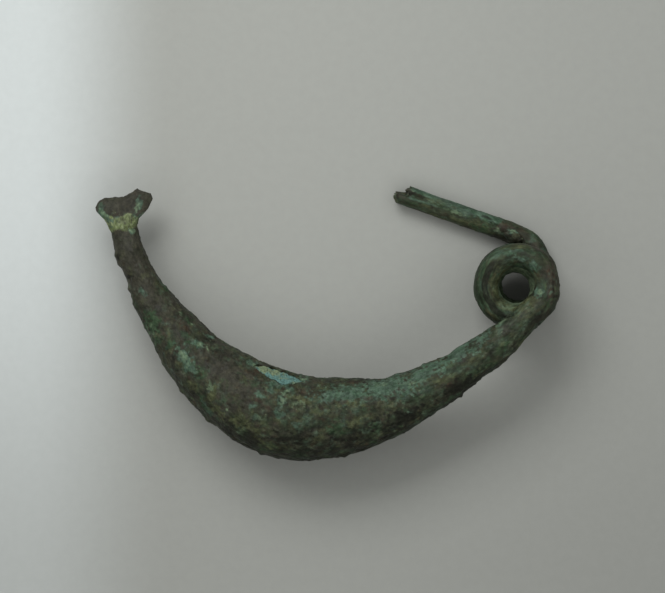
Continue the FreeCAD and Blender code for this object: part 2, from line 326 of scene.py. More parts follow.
# place along the metal's line, squeezed, and carried on evenly past both ends of the bow
def grainAlong(place):
    return (np.interp(place, bowPlaces[grainRows], grainReach) + grainSqueeze[0] * np.minimum(place, 0)
            + grainSqueeze[-1] * np.maximum(place - bowLength, 0))


# grain of a point: its place along the line, and how far it is from the line to the side and up
def grainOf(place, offset, side):
    return np.stack([grainAlong(place), np.sum(offset * side, axis=-1), offset[..., 2]], -1)


# relief of the corroded surface, the same everywhere so that neighbouring pieces meet
relief = {
    # broad swell, lumps, fine grain: cell, height, seed, octaves
    "waves": [(3.4, 0.10, 11, 1), (1.3, 0.060, 21, 2), (0.5, 0.030, 31, 2)],
    # round pits and small warts: cell, height, share of the cells that have one, radius in cells,
    # flat middle in cells, seed
    "dots": [(1.25, -0.13, 0.30, 0.42, 0.05, 51), (0.95, 0.10, 0.22, 0.34, 0.04, 61)],
    "flakeCell": 1.9, "flakeHeight": 0.07, "flakeEdge": (0.05, 0.2), "flakeSeed": 41,
}


# height of the corrosion at each point: waves, raised flakes of crust with steep edges, and dots
def corrosion(points):
    height = 0
    for cell, high, seed, octaves in relief["waves"]:
        height = height + high * layeredNoise(points, cell, seed, octaves)
    flakes = layeredNoise(points, relief["flakeCell"], relief["flakeSeed"], 3, 0.6)
    height += relief["flakeHeight"] * (smoothStep(*relief["flakeEdge"], flakes) - 0.4)
    for cell, high, share, radius, core, seed in relief["dots"]:
        gap, luck = scatteredDots(points, cell, seed)
        height += high * (luck < share) * smoothStep(radius, core, gap)
    return height


# lumps, steps and notches that the real brooch shows: x, y, radius, height
bowLandmarks = [
    (-24.7, 7.8, 0.5, 0.26), (-24.4, 6.9, 0.35, 0.22), (-23.2, 3.9, 0.4, 0.22), (-22.5, 1.9, 0.5, 0.18),
    (-19.0, 4.1, 0.4, 0.16), (-23.1, 5.4, 0.35, -0.10), (-7.8, -15.5, 0.35, 0.36), (15.6, -8.6, 0.35, 0.35),
    (2.0, -15.5, 0.4, 0.2), (-13.0, -10.6, 0.9, -0.12), (-11.9, -11.4, 0.6, 0.12), (-16.2, -6.6, 0.6, 0.12),
    (-19.2, -4.8, 0.3, 0.10), (-18.0, -6.9, 0.5, -0.07), (-17.1, -8.1, 0.3, 0.12),
    (-15.5, -10.0, 0.25, 0.10), (-13.9, -11.5, 0.3, 0.14), (-13.1, -12.1, 0.4, -0.06),
    (-11.0, -13.6, 0.3, 0.08), (-13.4, -1.95, 0.8, -0.34), (-12.9, -1.2, 0.55, 0.12),
]


# each landmark adds height x bell curve of the level distance over its radius
def landmarkHeight(points):
    return sum(high * bell(np.hypot(points[..., 0] - x, points[..., 1] - y), 0, radius)
               for x, y, radius, high in bowLandmarks)


# vent on the hollow side, seen as a lens-shaped patch
vent = {
    "place": 0.364, "turn": 29.5,     # along the span and up from the hollow side, in degrees
    "halfLength": 3.1, "halfWidth": 1.40, "depth": 1.75, "edge": 0.14, "bend": 0.16,
    "sink": 0.04, "crustFloor": 1.40,
    # its outline: how blunt the lens is, how full, how much it tapers, and the waves of its edge
    "blunt": 2.6, "full": 0.85, "taper": 0.10, "waves": [(0.13, 5.3, 1.0), (0.08, 13.0, 0.0)],
    "endFall": 4.0, "frameStep": 0.02,
}
ventPlace = np.interp(vent["place"], bowTable[:, 0], bowPlaces)
ventTurn = math.radians(vent["turn"])


# the vent's own frame on the bow's surface: the way inward, and millimetres per unit of place and turn
def ventFrame():
    step = vent["frameStep"]
    spots = bowSurface(ventPlace + np.array([0, step, 0]), ventTurn + np.array([0, 0, step]))
    inward = unit(bowLine(np.array([ventPlace]))[0][0] - spots[0])
    return inward, *np.linalg.norm(spots[1:] - spots[0], axis=-1) / step


ventInward, ventAlongScale, ventRoundScale = ventFrame()


# half width of the vent at a share of its length from -1 to 1: a lens with a wandering edge
def ventHalfWidth(along):
    lens = np.clip(1 - np.abs(along) ** vent["blunt"], 0, 1) ** vent["full"]
    wander = sum(high * np.sin(rate * along + start) for high, rate, start in vent["waves"])
    return lens * (vent["halfWidth"] * (1 - vent["taper"] * along) + wander)


# distance inside the vent's edge in millimetres, negative outside
def insideVent(place, v):
    v = (v - ventTurn + np.pi) % (2 * np.pi) - np.pi
    along = (place - ventPlace) * ventAlongScale / vent["halfLength"]
    across = v * ventRoundScale + vent["bend"] * along
    return ventHalfWidth(along) - np.abs(across) - vent["endFall"] * np.maximum(np.abs(along) - 1, 0)


# dressed bow surface: base surface + normal x relief, less the vent's recess along its own axis
def bowPiece(name, startRow, endRow, ring, step, withVent=False):
    place, turn = rowsAndTurns(evenRows(bowPlaces[startRow], bowPlaces[endRow], step), ring)
    base = bowSurface(place, turn)
    middle, side = bowLine(place)
    grid = raised(base, corrosion(base) + landmarkHeight(base))
    if withVent:
        deep = vent["depth"] * smoothStep(0, vent["edge"], insideVent(place, turn))
        grid = grid + ventInward * deep[..., None]
    return makeRun(name, grid, grainOf(place, base - middle, side))


footStem = bowPiece("footStem", 0, bow["footEndRow"], bow["stemRing"], bow["stemStep"])
bowShell = bowPiece("bowShell", bow["footEndRow"], bow["tailStartRow"], bow["ring"], bow["shellStep"], True)
tailStem = bowPiece("tailStem", bow["tailStartRow"], len(bowTable) - 1, bow["stemRing"], bow["stemStep"])
print("bow pieces made", [len(piece.data.polygons) for piece in (footStem, bowShell, tailStem)])

# crust in the vent: a thin closed patch between the core and the shell's face
crust = {
    "rings": 44, "around": 180, "size": 0.985, "bumpCell": 0.6, "bumpHeight": 0.15,
    "rimDrop": 0.12, "upperDrop": 0.45,
}


# rings that shrink towards the middle line of the vent, on the bow's surface sunk along the vent's
# axis, with bumps on the face and a flat floor
def crustPiece():
    shares, angles = rowsAndTurns(np.linspace(1, 0, crust["rings"], endpoint=False), crust["around"])
    rimAlong = np.cos(angles) * crust["size"]
    along = rimAlong * shares
    halfWidth = np.sign(np.sin(angles)) * ventHalfWidth(rimAlong)
    across = halfWidth * crust["size"] * shares - vent["bend"] * along
    reach = along * vent["halfLength"] / ventAlongScale
    face = bowSurface(ventPlace + reach, ventTurn + across / ventRoundScale)
    rough = layeredNoise(face, crust["bumpCell"], 71, 3, 0.6) * crust["bumpHeight"]
    # it stands lower along the vent's upper rim, which shows dark
    height = -shares * np.sin(angles)
    upperRim = smoothStep(0.55, 0.95, height) * smoothStep(-0.7, 0.1, along)
    edgeDrop = crust["rimDrop"] * smoothStep(0.85, 1.0, shares) + crust["upperDrop"] * upperRim
    top = face + ventInward * (vent["sink"] + edgeDrop - rough)[..., None]
    bottom = face + ventInward * vent["crustFloor"]
    grid = np.concatenate([bottom[::-1], top])
    # the end towards the foot is worn yellower, mostly along its upper side
    worn = smoothStep(0.1, -0.8, along) * smoothStep(-0.5, 0.5, height + 0.2)
    worn = np.concatenate([np.zeros_like(worn), worn])[:, ::-1]
    piece = makeTube("ventCrust", grid[:, ::-1])
    writeMask(piece.data, "worn", np.concatenate([worn.ravel(), [0.0, worn[-1].mean()]]))
    return piece


ventCrust = crustPiece()
print("vent crust made", len(ventCrust.data.polygons))

# catchplate root: a hammered flare whose upper part is bent down and broken off raggedly
plate = {
    # outline from the neck up, as offsets from the neck: left edge, right edge, broken edge
    "left": [(-1.53, 0.0), (-1.98, 0.6), (-2.45, 1.35), (-2.95, 1.85), (-3.38, 2.3), (-3.5, 2.8)],
    "right": [(1.53, 0.0), (1.52, 0.8), (1.64, 1.5), (2.12, 2.0), (2.7, 2.65), (3.22, 3.8)],
    "top": [(-3.5, 2.8), (-3.12, 3.48), (-2.42, 3.9), (-1.5, 3.95), (-0.7, 3.98), (0.1, 4.15), (0.7, 4.55),
            (1.4, 5.0), (2.1, 4.65), (3.0, 4.4), (3.22, 3.8)],
    "fold": 14.0, "foldAt": 1.9, "foldSoftness": 0.5,
    "neckHalf": 1.0, "midHalf": 0.5, "edgeHalf": 0.26, "rimThinning": 0.45,     # half thickness
    "squareness": 0.65, "lean": 15.0, "firstRise": 4.0,
    "smoothing": 0.72, "rimCalm": 0.8, "waveCell": 1.6, "waveHeight": 0.05,
    "nibbleCell": 0.7, "nibbleDepth": 0.10,
    "rows": 90, "ring": 132,
}
neck = bowMiddles[0]


# point at a share of the length of a line of points
def alongLine(line, share):
    line = np.array(line, float)
    reach = np.concatenate([[0], np.cumsum(np.linalg.norm(np.diff(line, axis=0), axis=1))])
    at = share * reach[-1]
    return np.stack([np.interp(at, reach, line[:, 0]), np.interp(at, reach, line[:, 1])], -1)


# plate surface: a patch between its four edges (sum of the two ruled sheets less the corner sheet),
# pushed out to both faces by a half thickness that goes from the neck's oval to a thin edge
def plateGrids():
    rise, turn = rowsAndTurns(np.linspace(-1.0 / plate["rows"], 1, plate["rows"] + 2), plate["ring"])
    turn = -turn        # the rows run up the plate, so the ring runs the other way round
    across = np.cos(turn)
    # the left edge is at minus one and the right at plus one, seen from above with +Y upwards
    share = (1 + across) / 2
    up = np.clip(rise, 0, 1)
    left, right = alongLine(plate["left"], up), alongLine(plate["right"], up)
    top = alongLine(plate["top"], share)
    foot = np.stack([across * bow["neckWidth"] / 2, np.zeros_like(across)], -1)
    toRight, toTop = share[..., None], up[..., None]
    lowCorners = (1 - toRight) * np.array(plate["left"][0]) + toRight * np.array(plate["right"][0])
    highCorners = (1 - toRight) * np.array(plate["left"][-1]) + toRight * np.array(plate["right"][-1])
    flat = (1 - toRight) * left + toRight * right
    flat += (1 - toTop) * (foot - lowCorners) + toTop * (top - highCorners)
    flat[..., 1] += np.minimum(rise, 0) * plate["firstRise"]
    fullness = 1 - plate["squareness"] * smoothStep(0, 0.5, up)
    swell = np.abs(np.sin(turn)) ** fullness * np.sign(np.sin(turn))
    half = plate["neckHalf"] + (plate["midHalf"] - plate["neckHalf"]) * smoothStep(0, 0.5, up)
    half = half + (plate["edgeHalf"] - half) * smoothStep(0.86, 1.0, up)
    # the right-hand rim is hammered thin
    half = half * (1 - plate["rimThinning"] * smoothStep(0.80, 0.96, share) * smoothStep(0.4, 0.7, up))
    # the neck's own heading tilts the oval a little, which fades out up the flare
    lean = np.radians(plate["lean"]) * (1 - smoothStep(0, 0.35, up))
    x, y = flat[..., 0] * np.cos(lean), flat[..., 1] + flat[..., 0] * np.sin(lean)
    grid = neck + np.stack([x, y, half * swell], -1)
    # the first rows carry on the foot's own section
    footSide = bowLine(np.zeros(1))[1][0]
    back = np.array([-footSide[1], footSide[0], 0.0])
    carried = bowSurface(np.zeros_like(turn), turn) + back * (plate["firstRise"] * rise)[..., None]
    joined = smoothStep(0, 0.14, up)[..., None]
    grid = carried * (1 - joined) + grid * joined
    offset = grid - neck
    offset[..., 1] -= flat[..., 1]
    grain = grainOf(-flat[..., 1], offset, np.array([1.0, 0.0, 0.0]))
    # bend: past the fold line the sheet turns down about +X by the fold angle
    past = flat[..., 1] - plate["foldAt"]
    bent = np.radians(plate["fold"]) * smoothStep(-plate["foldSoftness"], plate["foldSoftness"], past)
    grid[..., 2] -= np.maximum(past, 0) * np.tan(bent)
    # corrosion fades to a smooth hammered face with shallow waves, and the broken edge is nibbled
    onFace = smoothStep(0.05, 0.4, up)
    waves = plate["waveHeight"] * onFace * latticeNoise(grid, plate["waveCell"], 81)
    height = corrosion(grid) * (1 - plate["smoothing"] * onFace) + waves
    # and stays low along the sheet's rims
    grid = raised(grid, height * (1 - plate["rimCalm"] * onFace * (1 - np.abs(np.sin(turn)))))
    nibble = layeredNoise(grid, plate["nibbleCell"], 91, 3, 0.6) * plate["nibbleDepth"]
    grid[..., 1] += nibble * smoothStep(0.85, 1.0, up)
    return grid, grain


# closes a flattened last row: each point on the front meets the point below it on the back
def makePlate(name, grid, normals, grain):
    rows, ring = grid.shape[:2]
    index, after, quads = tubeQuads(rows, ring)
    front = index[-1, : ring // 2 + 1]
    back = np.roll(index[-1][::-1], 1)[: ring // 2 + 1]
    edge = np.stack([front[1:-2], front[2:-1], back[2:-1], back[1:-2]], -1)
    ends = [[front[0], front[1], back[1]], [front[-1], back[-2], front[-2]]]
    fan = np.concatenate([np.stack([after[0], index[0], np.full(ring, rows * ring)], -1), ends])
    points = np.concatenate([grid.reshape(-1, 3), [grid[0].mean(0)]])
    grain = np.concatenate([grain.reshape(-1, 3), [grain[0].mean(0)]])
    normals = np.concatenate([normals.reshape(-1, 3), [[0.0, -1.0, 0.0]]])
    return makeMesh(name, points, np.concatenate([quads, edge]), fan, normals, grain)


plateGrid, plateGrain = plateGrids()
catchplate = makePlate("catchplateRoot", plateGrid[1:], gridNormals(plateGrid)[1:], plateGrain[1:])
print("catchplate made", len(catchplate.data.polygons))

# spring: wire wound down from the tail to the pin
spring = {
    "eyeDia": 4.14, "wireDia": 2.8, "pitch": 3.52, "startAngle": -47.0, "woundAngle": 782.0,
    "turnHeight": 3.46, "ring": 96, "step": 0.11,
    # the outer side stands out a little, most where the knee passes below and at the lower left
    "fuller": 0.04, "bulges": [(0.32, 40, 18), (0.16, 232, 30)],     # height, angle, spread
    "choke": 0.52, "chokeWander": 0.2, "fill": (0.8, 275, 28),
    "roughness": 0.5,     # share of the bow's relief that the drawn wire and the pin show
}
coilRadius = (spring["eyeDia"] + spring["wireDia"]) / 2
woundDrop = spring["pitch"] * spring["woundAngle"] / 360
arcLength = math.radians(spring["woundAngle"]) * coilRadius
leadLength = spring["wireDia"]
springLength = arcLength + 2 * leadLength
springEnd = bowLength + springLength
exitAngle = spring["startAngle"] + spring["woundAngle"]
exitHeading = exitAngle + 90


# spring line: straight in, round at an even fall, straight out; gives middle, way out, angle
def springLine(along):
    turned = np.clip((along - leadLength) / arcLength, 0, 1)
    angle = spring["startAngle"] + spring["woundAngle"] * turned
    straight = np.minimum(along - leadLength, 0) + np.maximum(along - leadLength - arcLength, 0)
    radial = levelWay(angle)
    middle = radial * coilRadius + levelWay(angle + 90) * straight[..., None]
    middle[..., :2] += springAxis
    middle[..., 2] = bow["start"][2] - woundDrop * turned
    return middle, radial, angle


# spring surface: middle + level side x half width x cos turn + up x half height x sin turn + relief
def springPiece():
    place, turn = rowsAndTurns(evenRows(0, springLength, spring["step"]), spring["ring"])
    middle, radial, angle = springLine(place)
    side = -radial      # to the left of the heading, which is towards the spring's middle
    # the width eases from the tail's to the wire's, and the height swells so that the turns touch
    width = spring["wireDia"] + (bow["tailDia"] - spring["wireDia"]) * smoothStep(20, -47, angle)
    inTurns = between(-10, 60, exitAngle - 160, exitAngle, angle)
    high = width + (spring["turnHeight"] - width) * inTurns
    fuller = spring["fuller"] + sum(rise * bell(angle, at, spread) for rise, at, spread in spring["bulges"])
    # corrosion chokes the eye between the lower turns
    choke = spring["choke"] * between(250, 400, exitAngle - 150, exitAngle - 20, angle)
    choke = choke * (1 + spring["chokeWander"] * layeredNoise(middle + side, 1.1, 121, 2))
    across = width / 2 * np.cos(turn) - fuller * np.maximum(-np.cos(turn), 0)
    across = across + choke * np.maximum(np.cos(turn), 0)
    # and fills the groove beside the tail, where the first turn dives under it
    rise, at, spread = spring["fill"]
    lift = high / 2 * np.sin(turn) + rise * bell(angle, at, spread) * np.maximum(np.sin(turn), 0)
    base = offLine(middle, side, across, lift)
    rough = spring["roughness"] + (1 - spring["roughness"]) * smoothStep(60, -46, angle)
    grain = grainOf(bowLength + place, base - middle, side)
    return makeRun("springCoil", raised(base, corrosion(base) * rough), grain)


springCoil = springPiece()
print("spring made", len(springCoil.data.polygons))

# pin: a knee bent away from the spring, then a straight shank with a forked broken end
pin = {
    "kneeRadius": 3.33, "kneeRun": 2.5, "heading": 160.6, "dia": 2.42, "length": 12.93, "lean": 0.06,
    "forkDepth": 1.25, "forkWidth": 0.56, "forkOffset": 0.2, "forkFloor": 0.5, "prongLoss": 1.05,
    "rounding": 0.46, "breakCell": 0.7, "breakHeight": 0.24, "grooveDepth": 0.24, "grooveRun": 4.2,
    "ring": 120, "step": 0.09, "capRings": 26,
}
kneeTurn = (pin["heading"] - exitHeading) % 360
wireEnd = springLine(np.array([springLength]))[0][0]
kneeLength = math.radians(kneeTurn) * pin["kneeRadius"]
shankStart = kneeLength + pin["kneeRun"]
pinEnd = shankStart + pin["length"]


# pin line: an arc of the knee's radius from the wire's end, then straight along the pin's heading;
# gives middle, level side, diameter, way ahead
def pinLine(along):
    turned = np.clip(along / kneeLength, 0, 1) * kneeTurn
    ahead = levelWay(exitHeading + turned)
    middle = levelWay(exitHeading - 90 + turned) * pin["kneeRadius"]
    middle[..., :2] += wireEnd[:2] + pin["kneeRadius"] * levelWay(np.array(exitHeading + 90.0))[:2]
    middle = middle + ahead * (np.minimum(along, 0) + np.maximum(along - kneeLength, 0))[..., None]
    dia = spring["wireDia"] + (pin["dia"] - spring["wireDia"]) * smoothStep(0, kneeLength, along)
    middle[..., 2] = dia / 2
    return middle, levelWay(exitHeading + turned + 90), dia, ahead


# pin surface: the line's middle + side x radius x cos turn + up x radius x sin turn
def pinSurface(along, turn, shrink=1.0):
    middle, side, dia = pinLine(along)[:3]
    radius = dia / 2 * shrink
    # the corroded pin lies a little to the outer side of its line
    middle = middle - side * (pin["lean"] * smoothStep(kneeLength, kneeLength + 2.0, along))[..., None]
    return offLine(middle, side, radius * np.cos(turn), radius * np.sin(turn))


# grain of the pin, whose line carries on from the spring's
def pinGrain(along, points):
    middle, side = pinLine(along)[:2]
    return grainOf(springEnd + along, points - middle, side)


# knee: pin surface + normal x the wire's relief, as far as the shank
def kneePiece():
    place, turn = rowsAndTurns(evenRows(0, shankStart, pin["step"]), pin["ring"])
    base = pinSurface(place, turn)
    return makeRun("pinKnee", raised(base, corrosion(base) * spring["roughness"]), pinGrain(place, base))


# how far the metal reaches along the pin at a point of its section: the outer prong is shorter,
# a slot that is open at the top parts the prongs, the rim is rounded and noise roughens the break
def brokenReach(turn, shrink):
    radius = pin["dia"] / 2 * shrink
    aside = pin["forkOffset"]
    outward = -radius * np.cos(turn)
    upwards = radius * np.sin(turn)
    loss = pin["prongLoss"] * smoothStep(aside - 0.15, aside + 0.15, outward)
    halfSlot = pin["forkWidth"] / 2
    inSlot = smoothStep(halfSlot + 0.10, halfSlot - 0.08, np.abs(outward - aside))
    inSlot = inSlot * smoothStep(-pin["forkFloor"] - 0.2, -pin["forkFloor"] + 0.2, upwards)
    spot = np.stack([outward, upwards, np.zeros_like(outward)], -1)
    rough = pin["breakHeight"] * layeredNoise(spot, pin["breakCell"], 101, 3, 0.65)
    reach = pin["length"] - loss * (1 - inSlot) - pin["forkDepth"] * inSlot
    return reach - pin["rounding"] * smoothStep(0.5, 1.0, shrink) + rough


# shank: rows run along the pin to the broken rim, and cap rings shrink from there over the break
def shankPiece():
    rows = int(pin["length"] / pin["step"])
    shares, turn = rowsAndTurns(np.linspace(-1.0 / rows, 1, rows + 2), pin["ring"])
    rim = brokenReach(turn[0], 1.0)
    along = shankStart + shares * rim
    wall = pinSurface(along, turn)
    shrinks, capTurn = rowsAndTurns(np.linspace(1, 0, pin["capRings"], endpoint=False)[1:], pin["ring"])
    capAlong = shankStart + brokenReach(capTurn, shrinks)
    cap = pinSurface(capAlong, capTurn, shrinks)
    # a shallow hollow runs back from the slot along the top
    outward = -pin["dia"] / 2 * np.cos(turn)
    run = smoothStep(pin["grooveRun"], 0.8, rim - shares * rim)
    groove = pin["grooveDepth"] * run * smoothStep(0.55, 0.1, np.abs(outward - 0.15)) * (np.sin(turn) > 0)
    grain = np.concatenate([pinGrain(along, wall), pinGrain(capAlong, cap)])
    wall = raised(wall, corrosion(wall) * spring["roughness"] - groove)
    middle = np.zeros(1)
    tip = pinSurface(shankStart + brokenReach(middle, 0.0), middle, 0.0)[0]
    return makeRun("pinShank", np.concatenate([wall, cap]), grain, slice(1, None), tip)


pinKnee = kneePiece()
pinShank = shankPiece()
print("pin made", len(pinKnee.data.polygons), len(pinShank.data.polygons))

# blister: a lumpy nodule of corrosion on top of the knee
blister = {
    "length": 3.3, "width": 2.0, "rise": 0.46, "place": 0.45, "aside": 0.28, "skirt": -0.35,
    "lumpSize": 1.0, "lumpHeight": 0.13, "rows": 44, "ring": 100,
}


# half ellipsoid: level half length and half width x cos of the rise angle, up x height x sin, with
# lumps along the way out from its middle
def blisterPiece():
    along = np.array([kneeLength + blister["place"]])
    middle, side, dia, ahead = (item[0] for item in pinLine(along))
    middle = middle + side * blister["aside"]
    rises = np.linspace(blister["skirt"], np.pi / 2, blister["rows"], endpoint=False)
    lift, turn = rowsAndTurns(rises, blister["ring"])
    high = dia / 2 + blister["rise"]
    forward = ahead * (blister["length"] / 2 * np.cos(lift) * np.cos(turn))[..., None]
    offset = offLine(forward, side, blister["width"] / 2 * np.cos(lift) * np.sin(turn), high * np.sin(lift))
    lumps = blister["lumpHeight"] * layeredNoise(middle + offset, blister["lumpSize"], 111, 3, 0.6)
    grain = grainOf(springEnd + along + np.sum(offset * ahead, axis=-1), offset, side)
    grid = middle + offset + unit(offset) * lumps[..., None]
    return makeTube("kneeBlister", grid, None, grain, middle + upward * high)


kneeBlister = blisterPiece()
print("blister made", len(kneeBlister.data.polygons))

# patina: how strong each kind is along the metal, at stops from the plate's edge to the pin's point
patinaStops = grainAlong(np.array([
    -4.5, 0, bowPlaces[bow["footEndRow"]], bowPlaces[bow["fullestRow"]], bowPlaces[bow["tailStartRow"]],
    bowLength, springEnd, springEnd + kneeLength, springEnd + pinEnd,
]))
patinaRun = {
    # plate's edge, neck, end of the foot, fullest place, start of the tail, start and end of the spring,
    # knee, point
    "earth": [0.90, 0.76, 0.66, 0.50, 0.32, 0.40, 0.34, 0.50, 0.34],
    "malachite": [0.05, 0.16, 0.26, 0.36, 0.44, 0.42, 0.46, 0.34, 0.40],
    "olive": [0.10, 0.18, 0.28, 0.37, 0.34, 0.36, 0.34, 0.34, 0.40],
    "verdigris": [0.06, 0.12, 0.18, 0.24, 0.30, 0.28, 0.26, 0.20, 0.34],
    "rust": [0.18, 0.20, 0.26, 0.32, 0.28, 0.26, 0.22, 0.34, 0.20],
    "dark": [0.04, 0.10, 0.17, 0.28, 0.28, 0.30, 0.32, 0.36, 0.16],
    "pale": [0.06, 0.06, 0.08, 0.14, 0.10, 0.10, 0.08, 0.10, 0.16],
}
